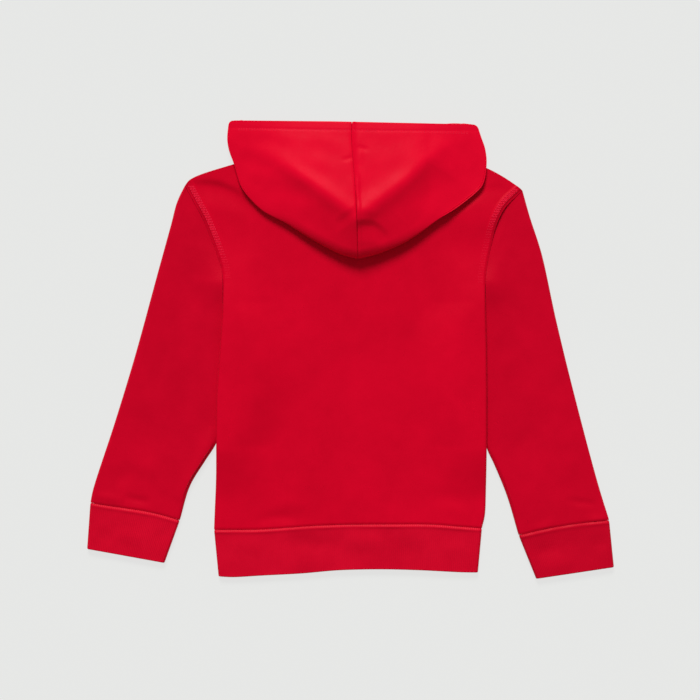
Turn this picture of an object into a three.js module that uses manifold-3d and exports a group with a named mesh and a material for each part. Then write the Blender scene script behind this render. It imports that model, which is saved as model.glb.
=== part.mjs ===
// Child's pullover hoodie, laid flat with its back up and its hood drawn back over the shoulders.
// Millimetres. X runs to the wearer's right, Y towards the hood, Z up from the surface it lies on.
// Every piece of cloth is a closed wall of its own thickness, parted from its neighbours at the seams.

import * as THREE from "three";
import { mergeVertices } from "three/addons/utils/BufferGeometryUtils.js";
import Module from "manifold-3d";

const wasm = await Module();
wasm.setup();

// Cloth thicknesses and the gap left at every seam
const FLEECE = 1.8;
const RIB = 2.4;
const HOOD_HEM = 3.0;
const SEAM_GAP = 0.3;

// Heights of the flattened tubes: two walls and the slack between them
const LAID_FLEECE = 6.4;
const LAID_RIB = 6.8;

// Heights at which cloth rests on the front panel and on the back panel
const OVER_FRONT = FLEECE + SEAM_GAP;
const OVER_BACK = LAID_FLEECE + SEAM_GAP;

// Body outline in plan, from the hem seam up. x, y
const BODY_SIDE = {
  left: [
    { x: -150.2, y: -197.7 },
    { x: -149.5, y: -178.5 },
    { x: -147.9, y: -138.9 },
    { x: -147.1, y: -55.3 },
    { x: -143.8, y: -5.8 },
    { x: -140.7, y: 38.2 },
    { x: -140.2, y: 74.5 },
  ],
  right: [
    { x: 144.7, y: -196.1 },
    { x: 147.9, y: -182.0 },
    { x: 149.1, y: -153.2 },
    { x: 149.9, y: -55.3 },
    { x: 149.4, y: 0.0 },
    { x: 148.6, y: 38.2 },
    { x: 148.3, y: 70.1 },
  ],
};

// Armhole seams from the underarm up to the shoulder. x, y
const ARMHOLE = {
  left: [
    { x: -140.2, y: 74.5 },
    { x: -141.6, y: 88.8 },
    { x: -146.9, y: 105.3 },
    { x: -161.2, y: 141.6 },
    { x: -170.5, y: 159.2 },
    { x: -182.1, y: 180.7 },
  ],
  right: [
    { x: 148.3, y: 70.1 },
    { x: 149.4, y: 88.0 },
    { x: 154.1, y: 111.9 },
    { x: 160.5, y: 137.0 },
    { x: 170.0, y: 156.0 },
    { x: 189.2, y: 175.1 },
  ],
};

// Shoulder seams from the armhole to the neck. x, y
const SHOULDER = {
  left: [
    { x: -182.1, y: 180.7 },
    { x: -175.5, y: 187.8 },
    { x: -128.2, y: 204.3 },
    { x: -55.6, y: 224.1 },
  ],
  right: [
    { x: 65.5, y: 224.1 },
    { x: 149.6, y: 199.9 },
    { x: 184.0, y: 179.5 },
    { x: 189.2, y: 175.1 },
  ],
};

// Neck edges of the two panels from the left shoulder seam to the right. x, y
const NECK_EDGE = {
  back: [
    { x: -55.6, y: 224.1 },
    { x: -35.8, y: 217.0 },
    { x: 5.0, y: 212.0 },
    { x: 45.7, y: 217.0 },
    { x: 65.5, y: 224.1 },
  ],
  front: [
    { x: -55.6, y: 224.1 },
    { x: -35.8, y: 217.5 },
    { x: -16.0, y: 206.5 },
    { x: 5.0, y: 201.6 },
    { x: 25.9, y: 206.5 },
    { x: 45.7, y: 217.5 },
    { x: 65.5, y: 224.1 },
  ],
};

// Hem seam and lower edge of the hem band, left to right. x, y
const HEM_SEAM = [
  { x: -150.2, y: -197.7 },
  { x: -100.7, y: -197.4 },
  { x: -42.4, y: -193.5 },
  { x: -8.2, y: -192.2 },
  { x: 50.1, y: -191.7 },
  { x: 89.7, y: -191.9 },
  { x: 122.7, y: -194.4 },
  { x: 144.7, y: -196.1 },
];
const HEM_EDGE = [
  { x: -145.2, y: -249.4 },
  { x: -130.0, y: -250.2 },
  { x: -98.5, y: -248.5 },
  { x: -53.4, y: -246.1 },
  { x: -13.8, y: -242.7 },
  { x: 33.6, y: -241.6 },
  { x: 78.2, y: -242.7 },
  { x: 122.7, y: -244.9 },
  { x: 140.2, y: -245.1 },
];

// Fold edges of each sleeve, from the cuff seam up past the armhole seam. x, y
const SLEEVE_EDGE = {
  left: {
    outer: [
      { x: -286.3, y: -168.0 },
      { x: -283.5, y: -154.3 },
      { x: -259.6, y: -80.6 },
      { x: -237.5, y: -8.0 },
      { x: -212.2, y: 84.4 },
      { x: -197.5, y: 137.8 },
      { x: -190.9, y: 162.5 },
      { x: -181.6, y: 182.2 },
    ],
    inner: [
      { x: -187.8, y: -187.6 },
      { x: -176.6, y: -149.9 },
      { x: -160.0, y: -122.4 },
      { x: -147.6, y: -102.6 },
      { x: -120.5, y: -27.8 },
      { x: -126.5, y: 10.0 },
      { x: -139.0, y: 42.0 },
      { x: -141.0, y: 56.0 },
      { x: -140.6, y: 74.0 },
      { x: -129.0, y: 88.0 },
      { x: -110.6, y: 115.2 },
    ],
  },
  right: {
    outer: [
      { x: 284.7, y: -187.3 },
      { x: 272.2, y: -146.6 },
      { x: 243.7, y: -38.8 },
      { x: 226.1, y: 33.8 },
      { x: 210.2, y: 106.4 },
      { x: 197.5, y: 146.0 },
      { x: 188.9, y: 176.6 },
    ],
    inner: [
      { x: 184.9, y: -203.8 },
      { x: 172.2, y: -160.9 },
      { x: 158.0, y: -126.0 },
      { x: 150.2, y: -109.2 },
      { x: 125.0, y: -28.9 },
      { x: 133.0, y: 10.0 },
      { x: 147.0, y: 40.0 },
      { x: 149.0, y: 54.0 },
      { x: 148.8, y: 71.0 },
      { x: 136.0, y: 86.0 },
      { x: 115.0, y: 113.0 },
    ],
  },
};

// Lower corners of each cuff. x, y
const CUFF_EDGE = {
  left: { outer: { x: -289.9, y: -219.2 }, inner: { x: -204.8, y: -234.6 } },
  right: { outer: { x: 289.9, y: -239.3 }, inner: { x: 204.4, y: -252.1 } },
};

// The underarm half of each sleeve lies tucked below the body's side
const TUCK = { top: 52, bottom: -106, depth: 29, margin: 8, ramp: 45, runIn: 19, runOut: 45 };

// Hood in plan: centre seam from the rim to the tip, and the fold round each side. x, y
const HOOD_SEAM = [
  { x: 1.7, y: 250.5 },
  { x: 0.9, y: 237.3 },
  { x: 1.7, y: 219.7 },
  { x: 3.9, y: 192.2 },
  { x: 5.8, y: 165.0 },
  { x: 8.2, y: 99.8 },
];
const HOOD_FOLD = {
  left: [
    { x: -133.7, y: 252.1 },
    { x: -135.5, y: 231.8 },
    { x: -133.7, y: 219.7 },
    { x: -128.2, y: 204.3 },
    { x: -120.5, y: 180.1 },
    { x: -113.9, y: 170.2 },
    { x: -96.3, y: 152.6 },
    { x: -69.9, y: 138.3 },
    { x: -50.1, y: 125.7 },
    { x: -25.9, y: 111.9 },
    { x: -6.1, y: 103.1 },
    { x: 8.2, y: 99.8 },
  ],
  right: [
    { x: 139.2, y: 247.8 },
    { x: 143.6, y: 234.0 },
    { x: 148.0, y: 220.8 },
    { x: 149.6, y: 205.0 },
    { x: 145.8, y: 182.3 },
    { x: 139.2, y: 174.0 },
    { x: 115.0, y: 154.8 },
    { x: 96.3, y: 143.2 },
    { x: 78.2, y: 129.5 },
    { x: 61.1, y: 118.5 },
    { x: 42.4, y: 109.7 },
    { x: 27.0, y: 104.2 },
    { x: 8.2, y: 99.8 },
  ],
};

// Heights along the hood's fold, by the share of the way from the rim corner to the tip. share, left, right
const HOOD_FOLD_HEIGHT = [
  { share: 0.0, left: 8.4, right: 8.4 },
  { share: 0.25, left: 12.5, right: 11.5 },
  { share: 0.55, left: 15.5, right: 13.0 },
  { share: 0.8, left: 18.0, right: 16.5 },
  { share: 1.0, left: 20.0, right: 20.0 },
];

// Form of the hood: a low rim, a crest in the shape of a V, then a long roll down to the fold
const HOOD = {
  middle: 5.0,
  halfWidth: 137,
  rimY: 250.5,
  rimHeight: 19,
  rimHeightAtCorner: 12,
  crestY: 156,
  crestRise: 58,
  crestHeight: 38,
  crestHeightAtCorner: 16,
  roll: 50,
  underRoll: 14,
  hemWidth: 11,
  wingHeight: 4.5,
  lastRowBeforeTip: 8,
  shoulderShare: 0.22,
};

// Lower rim of the hood from the rim corner to the centre front, and its neck edge from there round
// to the nape, given for the left half about the hood's middle. x, y, z
const HOOD_LOWER_RIM = [
  { x: -100.0, y: 249.0 },
  { x: -62.0, y: 243.0 },
  { x: -32.0, y: 232.0 },
  { x: -10.0, y: 214.0 },
];
const HOOD_NECK_FRONT = [
  { x: 4.85, y: 199.6, z: OVER_FRONT },
  { x: -16.0, y: 204.5, z: OVER_FRONT },
  { x: -34.0, y: 219.5, z: 3.4 },
  { x: -45.0, y: 227.5, z: 6.0 },
  { x: -56.0, y: 224.5, z: OVER_BACK },
];
const HOOD_NECK_BACK = [
  { x: -56.0, y: 224.5, z: OVER_BACK },
  { x: -36.0, y: 216.2, z: OVER_BACK },
  { x: 4.85, y: 211.0, z: OVER_BACK },
];

// Soft folds of the uppermost layers. x and y of the middle, angle of the ridge from X, size, height
const SOFT_FOLDS = {
  back_panel: [
    { x: -68, y: -182, angle: 6, length: 60, width: 16, height: -0.9 },
    { x: 105, y: -172, angle: -8, length: 50, width: 15, height: -0.8 },
    { x: -100, y: 130, angle: -50, length: 80, width: 22, height: -0.8 },
    { x: 110, y: 120, angle: 55, length: 80, width: 22, height: -0.7 },
  ],
  sleeve_left: [
    { x: -238, y: -140, angle: -20, length: 50, width: 15, height: -1.0 },
    { x: -205, y: -95, angle: -35, length: 60, width: 16, height: -0.8 },
  ],
  sleeve_right: [
    { x: 240, y: -150, angle: 18, length: 55, width: 15, height: -1.0 },
    { x: 195, y: -95, angle: 40, length: 60, width: 16, height: -0.8 },
  ],
};

const smooth = (from, to, value) => THREE.MathUtils.smoothstep(value, from, to);
const mix = THREE.MathUtils.lerp;

// A smooth curve through a table of points, by the share of its length
function through(table) {
  const points = table.map(({ x, y, z = 0 }) => new THREE.Vector3(x, y, z));
  const curve = new THREE.CatmullRomCurve3(points, false, "centripetal");
  return (share) => curve.getPointAt(THREE.MathUtils.clamp(share, 0, 1));
}

// Curves end to end, each over its own span of the whole
function joined(...spans) {
  return (share) => {
    let start = 0;
    for (const { curve, end } of spans) {
      if (share <= end || end === 1) {
        return curve((share - start) / (end - start));
      }
      start = end;
    }
  };
}

// A patch between four edges: u runs left to right, v from the first edge to the second
function patch(low, high, left, right) {
  const corners = [low(0), low(1), high(0), high(1)];
  return (u, v) => {
    const across = low(u).multiplyScalar(1 - v).addScaledVector(high(u), v);
    const along = left(v).multiplyScalar(1 - u).addScaledVector(right(v), u);
    return across.add(along)
      .addScaledVector(corners[0], -(1 - u) * (1 - v))
      .addScaledVector(corners[1], -u * (1 - v))
      .addScaledVector(corners[2], -(1 - u) * v)
      .addScaledVector(corners[3], -u * v);
  };
}

// Sum of the soft folds at a point of the plan
function softFolds(name, x, y) {
  let height = 0;
  for (const fold of SOFT_FOLDS[name] ?? []) {
    const turn = THREE.MathUtils.degToRad(fold.angle);
    const along = (x - fold.x) * Math.cos(turn) + (y - fold.y) * Math.sin(turn);
    const across = (y - fold.y) * Math.cos(turn) - (x - fold.x) * Math.sin(turn);
    height += fold.height * Math.exp(-((2 * along / fold.length) ** 2) - (across / fold.width) ** 2);
  }
  return height;
}

// Closed wall between two grids of points; mirrored turns its faces over
function wall(first, second, { closedRound = false, mirrored = false } = {}) {
  const rows = first.length;
  const columns = first[0].length;
  const positions = [...first.flat(), ...second.flat()].flatMap((point) => point.toArray());
  const index = [];
  const at = (grid, row, column) => (grid * rows + row) * columns + (column % columns);
  const quad = (a, b, c, d) => index.push(...(mirrored ? [a, c, b, a, d, c] : [a, b, c, a, c, d]));
  const spans = closedRound ? columns : columns - 1;
  for (let j = 0; j < spans; j += 1) {
    for (let i = 0; i < rows - 1; i += 1) {
      quad(at(0, i, j), at(0, i, j + 1), at(0, i + 1, j + 1), at(0, i + 1, j));
      quad(at(1, i, j), at(1, i + 1, j), at(1, i + 1, j + 1), at(1, i, j + 1));
    }
    quad(at(0, 0, j), at(1, 0, j), at(1, 0, j + 1), at(0, 0, j + 1));
    quad(at(0, rows - 1, j), at(0, rows - 1, j + 1), at(1, rows - 1, j + 1), at(1, rows - 1, j));
  }
  if (!closedRound) {
    for (let i = 0; i < rows - 1; i += 1) {
      quad(at(0, i, 0), at(0, i + 1, 0), at(1, i + 1, 0), at(1, i, 0));
      quad(at(0, i, spans), at(1, i, spans), at(1, i + 1, spans), at(0, i + 1, spans));
    }
  }
  const geometry = new THREE.BufferGeometry();
  geometry.setAttribute("position", new THREE.Float32BufferAttribute(positions, 3));
  geometry.setIndex(index);
  return geometry;
}

// Stations across one layer of a laid piece: round the left fold, over the flat, round the right fold
const FOLD_ANGLES = [0, 30, 60].map(THREE.MathUtils.degToRad);
const FLAT = Math.PI / 2;

function layerStations(flatShares) {
  return [
    ...FOLD_ANGLES.map((angle) => ({ side: "left", angle })),
    ...flatShares.map((share) => ({ side: "flat", share, angle: FLAT })),
    ...[...FOLD_ANGLES].reverse().map((angle) => ({ side: "right", angle })),
  ];
}

// Distance along a row of a station at one radius of the fold; held is 1 where the edge is a fold
function alongRow(station, length, foldRadius, radius, held = 1) {
  const inset = foldRadius - mix(foldRadius, radius, held) * Math.cos(station.angle);
  if (station.side === "flat") {
    return foldRadius + station.share * (length - 2 * foldRadius);
  }
  return station.side === "left" ? inset : length - inset;
}

// Flattened tube: rows give the plan from its left fold to its right fold
function flatTube(name, row, rowShares, flatShares, height, thickness, ridge = () => 0) {
  const foldRadius = height / 2;
  const layer = layerStations(flatShares);
  const over = layer.map((station) => ({ ...station, up: 1 }));
  const under = layer.slice(1, -1).reverse().map((station) => ({ ...station, up: -1 }));
  const grid = (radius) => rowShares.map((v) => {
    const length = row(0, v).distanceTo(row(1, v));
    return [...over, ...under].map((station) => {
      const u = alongRow(station, length, foldRadius, radius) / length;
      const point = row(u, v);
      const soft = station.up > 0 && station.side === "flat" ? softFolds(name, point.x, point.y) : 0;
      const raised = radius === foldRadius && station.up > 0 ? ridge(v) * Math.sin(station.angle) : 0;
      point.z = foldRadius + station.up * radius * Math.sin(station.angle) + soft + raised;
      return point;
    });
  });
  return wall(grid(foldRadius), grid(foldRadius - thickness), { closedRound: true });
}

// Body panels
const UNDERARM_SHARE = 0.68;
const LEFT_NECK_SHARE = 0.341;
const RIGHT_NECK_SHARE = 0.667;
const FOLD_FADE = 0.02;
const BODY_LENGTH = 400;
const BODY_ROWS = [0, 0.055, 0.11, 0.15, 0.185, 0.22, 0.27, 0.34, 0.42, 0.5, 0.56, 0.6, 0.63, 0.655, 0.68,
  0.73, 0.79, 0.85, 0.91, 0.96];
const BODY_COLUMNS = [0, 0.03, 0.06, 0.095, 0.135, 0.19, 0.26, 0.335, 0.4, 0.45, 0.5, 0.55, 0.6, 0.665,
  0.74, 0.81, 0.865, 0.905, 0.94, 0.97, 1];

const sideOf = {
  left: joined({ curve: through(BODY_SIDE.left), end: UNDERARM_SHARE },
    { curve: through(ARMHOLE.left), end: 1 }),
  right: joined({ curve: through(BODY_SIDE.right), end: UNDERARM_SHARE },
    { curve: through(ARMHOLE.right), end: 1 }),
};

function topEdge(neck) {
  return joined({ curve: through(SHOULDER.left), end: LEFT_NECK_SHARE },
    { curve: through(neck), end: RIGHT_NECK_SHARE },
    { curve: through(SHOULDER.right), end: 1 });
}

// How far the body is lifted off the surface by the sleeve tucked below its side
function tuckLift(x, y, leftEdge, rightEdge) {
  const inward = Math.min(x - leftEdge, rightEdge - x);
  const share = THREE.MathUtils.clamp((TUCK.top - y) / (TUCK.top - TUCK.bottom), 0, 1);
  const depth = TUCK.depth * Math.sin(Math.PI * share) + TUCK.margin;
  const lengthways = smooth(TUCK.bottom - TUCK.runOut, TUCK.bottom, y)
    * (1 - smooth(TUCK.top, TUCK.top + TUCK.runIn, y));
  return OVER_BACK * lengthways * (1 - smooth(depth, depth + TUCK.ramp, inward));
}

function bodyPanel(name, neck, up) {
  const foldRadius = LAID_FLEECE / 2;
  const plan = patch(through(HEM_SEAM), topEdge(neck), sideOf.left, sideOf.right);
  const rows = [
    ...BODY_ROWS.map((v) => ({ v, angle: FLAT })),
    ...[...FOLD_ANGLES].reverse().map((angle) => ({ angle })),
  ];
  const grid = (radius) => rows.map((line) => layerStations(BODY_COLUMNS).map((station) => {
    const shoulderInset = (held) => foldRadius - mix(foldRadius, radius, held) * Math.cos(line.angle);
    const rowOf = (held) => line.v ?? 1 - shoulderInset(held) / BODY_LENGTH;
    const sideHeld = 1 - smooth(UNDERARM_SHARE - FOLD_FADE, UNDERARM_SHARE + FOLD_FADE, rowOf(0));
    const length = plan(0, rowOf(0)).distanceTo(plan(1, rowOf(0)));
    const u = alongRow(station, length, foldRadius, radius, sideHeld) / length;
    const shoulderHeld = 1 - smooth(LEFT_NECK_SHARE - FOLD_FADE, LEFT_NECK_SHARE + FOLD_FADE, u)
      * (1 - smooth(RIGHT_NECK_SHARE - FOLD_FADE, RIGHT_NECK_SHARE + FOLD_FADE, u));
    const point = plan(u, rowOf(shoulderHeld));
    point.y -= line.angle === 0 ? SEAM_GAP / 2 * (1 - shoulderHeld) : 0;
    const fullness = mix(1, Math.sin(station.angle), sideHeld) * mix(1, Math.sin(line.angle), shoulderHeld);
    const lift = tuckLift(point.x, point.y, plan(0, rowOf(0)).x, plan(1, rowOf(0)).x);
    const soft = up > 0 && line.angle === FLAT ? softFolds(name, point.x, point.y) * fullness : 0;
    point.z = foldRadius + up * (SEAM_GAP / 2 + (radius - SEAM_GAP / 2) * fullness) + lift + soft;
    return point;
  }));
  return wall(grid(foldRadius), grid(foldRadius - FLEECE), { mirrored: up < 0 });
}

// Sleeves: flattened tubes cut off along the armhole and the body's side, just clear of the panels
function toManifold(geometry) {
  const merged = mergeVertices(geometry, 1e-4);
  const mesh = new wasm.Mesh({
    numProp: 3,
    vertProperties: Float32Array.from(merged.attributes.position.array),
    triVerts: Uint32Array.from(merged.index.array),
  });
  return new wasm.Manifold(mesh);
}

function toGeometry(solid) {
  const mesh = solid.getMesh();
  const geometry = new THREE.BufferGeometry();
  geometry.setAttribute("position", new THREE.Float32BufferAttribute(mesh.vertProperties, 3));
  geometry.setIndex([...mesh.triVerts]);
  return geometry;
}

const CUTTER = { belowUnderarm: 0.06, step: 0.01, pastShoulder: 8, above: 40 };

function armholeCutter(side) {
  const outward = side === "left" ? -1 : 1;
  const shape = new THREE.Shape();
  const shares = [...BODY_ROWS.filter((share) => share > UNDERARM_SHARE - CUTTER.belowUnderarm), 1];
  shape.moveTo(0, sideOf[side](shares[0]).y);
  for (const share of shares) {
    const here = sideOf[side](share);
    const ahead = sideOf[side](Math.min(share + CUTTER.step, 1));
    const tangent = ahead.sub(sideOf[side](share - CUTTER.step)).normalize();
    shape.lineTo(here.x + outward * SEAM_GAP * tangent.y, here.y - outward * SEAM_GAP * tangent.x);
  }
  const shoulder = sideOf[side](1);
  shape.lineTo(shoulder.x - outward * CUTTER.pastShoulder, shoulder.y + CUTTER.above);
  shape.lineTo(0, shoulder.y + CUTTER.above);
  const cutter = new THREE.ExtrudeGeometry(shape, { depth: 3 * LAID_FLEECE, bevelEnabled: false });
  cutter.deleteAttribute("normal");
  cutter.deleteAttribute("uv");
  cutter.translate(0, 0, -LAID_FLEECE);
  return toManifold(cutter);
}

const SLEEVE_ROWS = [0, 0.07, 0.14, 0.22, 0.3, 0.39, 0.48, 0.57, 0.64, 0.69, 0.73, 0.77, 0.81, 0.86, 0.92, 1];
const SLEEVE_COLUMNS = [0, 0.2, 0.4, 0.6, 0.8, 1];

function sleeveRow(side) {
  const outer = through(SLEEVE_EDGE[side].outer);
  const inner = through(SLEEVE_EDGE[side].inner);
  const [left, right] = side === "left" ? [outer, inner] : [inner, outer];
  return (u, v) => left(v).lerp(right(v), u);
}

function sleeve(side) {
  const name = `sleeve_${side}`;
  const tube = flatTube(name, sleeveRow(side), SLEEVE_ROWS, SLEEVE_COLUMNS, LAID_FLEECE, FLEECE);
  return toGeometry(toManifold(tube).subtract(armholeCutter(side)));
}

// Ribbed bands: the seam stands as a low ridge along the top of each
const BAND_ROWS = [0, 0.3, 0.6, 0.84, 0.93, 1];
const SEAM_RIDGE = 0.7;
const bandRidge = (v) => (v > 0.9 && v < 0.99 ? SEAM_RIDGE : 0);

function cuff(side) {
  const seam = sleeveRow(side);
  const { outer, inner } = CUFF_EDGE[side];
  const [lowLeft, lowRight] = side === "left" ? [outer, inner] : [inner, outer];
  const low = (u) => new THREE.Vector3(mix(lowLeft.x, lowRight.x, u), mix(lowLeft.y, lowRight.y, u), 0);
  const row = (u, v) => {
    const bottom = low(u);
    const top = seam(u, 0);
    const gap = SEAM_GAP / top.distanceTo(bottom);
    return bottom.lerp(top, v * (1 - gap));
  };
  return flatTube(`cuff_${side}`, row, BAND_ROWS, [0, 0.33, 0.66, 1], LAID_RIB, RIB, bandRidge);
}

function hemBand() {
  const top = through(HEM_SEAM.map(({ x, y }) => ({ x, y: y - SEAM_GAP })));
  const low = through(HEM_EDGE);
  const row = (u, v) => low(u).lerp(top(u), v);
  return flatTube("hem_band", row, BAND_ROWS, BODY_COLUMNS, LAID_RIB, RIB, bandRidge);
}

// Hood
const HOOD_ROWS = [0, 0.035, 0.075, 0.12, 0.16, 0.195, 0.22, 0.27, 0.34, 0.42, 0.5, 0.58, 0.66, 0.74, 0.82,
  0.89, 0.95, 1];
const TOP_COLUMNS = 9;
const UNDER_COLUMNS = 9;
// Columns crowd towards the fold by these powers
const TOP_CROWDING = 1.7;
const UNDER_CROWDING = 1.5;
// Spans over which the hood's underside comes down: past the shoulder, and along a row to the neck
const WING_FALL = { from: 0.5, to: 13 };
const NECK_FALL = { from: 0.42, to: 0.82 };
// The roll is part ellipse, part straight slope
const ROUND_SHARE = 0.55;

const hoodFold = { left: through(HOOD_FOLD.left), right: through(HOOD_FOLD.right) };
const OUTLINE_SAMPLES = 70;
const hoodOutline = ["left", "right"].flatMap((side) => Array.from(
  { length: OUTLINE_SAMPLES + 1 },
  (_, k) => hoodFold[side](k / OUTLINE_SAMPLES),
));
const bodyTop = topEdge(NECK_EDGE.back);
const bodyTopLine = Array.from({ length: 61 }, (_, k) => bodyTop(k / 60));

function distanceToFold(x, y) {
  const here = new THREE.Vector3(x, y, 0);
  const nearest = new THREE.Vector3();
  let least = Infinity;
  for (let k = 0; k < hoodOutline.length - 1; k += 1) {
    if (k !== OUTLINE_SAMPLES) {
      new THREE.Line3(hoodOutline[k], hoodOutline[k + 1]).closestPointToPoint(here, true, nearest);
      least = Math.min(least, nearest.distanceTo(here));
    }
  }
  return least;
}

// How far a point lies beyond the body's top edge, towards the rim
function beyondShoulder(x, y) {
  const next = bodyTopLine.findIndex((point) => point.x > x);
  if (next <= 0) {
    return y - bodyTopLine.at(next).y;
  }
  const [before, after] = [bodyTopLine[next - 1], bodyTopLine[next]];
  return y - mix(before.y, after.y, (x - before.x) / (after.x - before.x));
}

// Rise of the cloth with its distance from the fold, as a share of the whole rise
function rollRise(distance, reach) {
  const share = Math.min(distance / reach, 1);
  return mix(share, Math.sqrt(1 - (1 - share) ** 2), ROUND_SHARE);
}

function hoodTopHeight(x, y, foldHeight) {
  const outward = Math.min(Math.abs(x - HOOD.middle) / HOOD.halfWidth, 1);
  const crestY = HOOD.crestY + HOOD.crestRise * outward;
  const rim = mix(HOOD.rimHeight, HOOD.rimHeightAtCorner, outward);
  const crest = mix(HOOD.crestHeight, HOOD.crestHeightAtCorner, outward);
  const share = THREE.MathUtils.clamp((HOOD.rimY - y) / (HOOD.rimY - crestY), 0, 1);
  const roof = mix(rim, crest, Math.sin(share * Math.PI / 2));
  const reach = HOOD.roll * Math.sqrt(Math.max(1 - outward ** 2, 0.03));
  return foldHeight + (roof - foldHeight) * rollRise(distanceToFold(x, y), reach);
}

function hoodUnderHeight(x, y, foldHeight, row, share, neckHeight) {
  const beyond = smooth(WING_FALL.from, WING_FALL.to, beyondShoulder(x, y));
  let floor = mix(OVER_BACK, HOOD.wingHeight, beyond);
  if (row < HOOD.shoulderShare) {
    floor = mix(floor, neckHeight, smooth(NECK_FALL.from, NECK_FALL.to, share));
  }
  return foldHeight - (foldHeight - floor) * rollRise(distanceToFold(x, y), HOOD.underRoll);
}

function foldHeightAt(side, share) {
  const next = Math.max(HOOD_FOLD_HEIGHT.findIndex((row) => row.share >= share), 1);
  const [low, high] = [HOOD_FOLD_HEIGHT[next - 1], HOOD_FOLD_HEIGHT[next]];
  return mix(low[side], high[side], (share - low.share) / (high.share - low.share));
}

function hoodHalf(side) {
  const outward = side === "left" ? -1 : 1;
  const aboutMiddle = ({ x, y, z = 0 }) => ({
    x: HOOD.middle + outward * (HOOD.middle - x),
    y,
    z,
  });
  const clear = new THREE.Vector3(outward * SEAM_GAP / 2, 0, 0);
  const seamCurve = through(HOOD_SEAM);
  const seamLength = HOOD.rimY - HOOD_SEAM.at(-1).y;
  const seam = (share) => seamCurve(share * (1 - HOOD.lastRowBeforeTip / seamLength)).add(clear);
  const fold = (share) => hoodFold[side](share).addScaledVector(clear, smooth(0.9, 1, share));
  const neck = joined(
    { curve: through(HOOD_NECK_FRONT.map(aboutMiddle)), end: HOOD.shoulderShare },
    { curve: through(HOOD_NECK_BACK.map(aboutMiddle)), end: 1 },
  );
  const flatNeck = (share) => neck(share).setZ(0);
  const lowerRim = through([fold(0), ...HOOD_LOWER_RIM.map(aboutMiddle), flatNeck(0)]);
  const tip = fold(1);
  const nape = flatNeck(1);
  const under = patch(lowerRim, (share) => tip.clone().lerp(nape, share), fold, flatNeck);

  const outer = HOOD_ROWS.map((row) => {
    const foldHeight = foldHeightAt(side, row);
    const points = [];
    for (let k = 0; k < TOP_COLUMNS; k += 1) {
      const point = fold(row).lerp(seam(row), (1 - k / TOP_COLUMNS) ** TOP_CROWDING);
      points.push(point.setZ(hoodTopHeight(point.x, point.y, foldHeight)));
    }
    points.push(fold(row).setZ(foldHeight));
    for (let k = 1; k <= UNDER_COLUMNS; k += 1) {
      const share = (k / UNDER_COLUMNS) ** UNDER_CROWDING;
      const point = under(share, row);
      const height = hoodUnderHeight(point.x, point.y, foldHeight, row, share, neck(row).z);
      points.push(point.setZ(height));
    }
    return points;
  });
  return wall(outer, thickenHood(outer, side), { mirrored: side === "right" });
}

// Inside of the hood, moved in along the normals; the turned hem along the upper rim is thicker
function thickenHood(outer, side) {
  const columns = outer[0].length;
  const geometry = new THREE.BufferGeometry().setFromPoints(outer.flat());
  const index = [];
  for (let i = 0; i < outer.length - 1; i += 1) {
    for (let j = 0; j < columns - 1; j += 1) {
      const corner = i * columns + j;
      index.push(corner, corner + 1, corner + columns + 1, corner, corner + columns + 1, corner + columns);
    }
  }
  geometry.setIndex(index);
  geometry.computeVertexNormals();
  const inward = side === "left" ? -1 : 1;
  return outer.map((points, i) => points.map((point, j) => {
    const normal = new THREE.Vector3().fromBufferAttribute(geometry.attributes.normal, i * columns + j);
    const onSeam = j === 0 || i === outer.length - 1;
    if (onSeam) {
      normal.setX(0).normalize();
    }
    const fromRim = point.distanceTo(outer[0][j]);
    const hem = j > TOP_COLUMNS ? FLEECE : HOOD_HEM;
    const thickness = mix(hem, FLEECE, smooth(HOOD.hemWidth - 1, HOOD.hemWidth + 3, fromRim));
    return point.clone().addScaledVector(normal, inward * thickness);
  }));
}

// Colours of the cloth
const fleeceRed = new THREE.MeshStandardMaterial({ color: 0xc90226, roughness: 0.9, metalness: 0 });
const ribRed = new THREE.MeshStandardMaterial({ color: 0xc0082b, roughness: 0.95, metalness: 0 });

const hoodie = new THREE.Group();

function addPiece(name, geometry, material) {
  const mesh = new THREE.Mesh(geometry, material.clone());
  mesh.name = name;
  hoodie.add(mesh);
}

addPiece("back_panel", bodyPanel("back_panel", NECK_EDGE.back, 1), fleeceRed);
addPiece("front_panel", bodyPanel("front_panel", NECK_EDGE.front, -1), fleeceRed);
addPiece("hem_band", hemBand(), ribRed);
for (const side of ["left", "right"]) {
  addPiece(`sleeve_${side}`, sleeve(side), fleeceRed);
  addPiece(`cuff_${side}`, cuff(side), ribRed);
  addPiece(`hood_${side}`, hoodHalf(side), fleeceRed);
}

export default hoodie;
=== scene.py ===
"""Dressed model of a child's plain pullover hoodie, laid flat with its back up.

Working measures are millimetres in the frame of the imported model: X to the wearer's right, Y towards
the hood and Z up from the surface. Every piece of cloth is a closed wall that follows its solid in a
finer grid and adds the creases, seams, stitches and rib wales that the solid leaves out.
"""

import math

import bmesh
import bpy
import numpy as np
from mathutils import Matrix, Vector
from mathutils.bvhtree import BVHTree


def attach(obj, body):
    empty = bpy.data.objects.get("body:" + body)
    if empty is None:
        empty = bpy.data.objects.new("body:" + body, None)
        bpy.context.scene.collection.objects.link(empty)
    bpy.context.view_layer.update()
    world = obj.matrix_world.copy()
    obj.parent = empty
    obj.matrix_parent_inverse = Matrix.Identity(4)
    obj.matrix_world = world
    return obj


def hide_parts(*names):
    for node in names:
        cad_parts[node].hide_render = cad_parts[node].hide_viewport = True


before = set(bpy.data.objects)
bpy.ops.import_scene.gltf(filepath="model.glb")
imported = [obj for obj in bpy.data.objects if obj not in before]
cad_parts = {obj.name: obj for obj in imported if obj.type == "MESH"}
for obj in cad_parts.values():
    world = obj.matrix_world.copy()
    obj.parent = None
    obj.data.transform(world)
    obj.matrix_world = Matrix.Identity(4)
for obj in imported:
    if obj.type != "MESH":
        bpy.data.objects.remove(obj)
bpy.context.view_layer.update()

MM = 0.001

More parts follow.
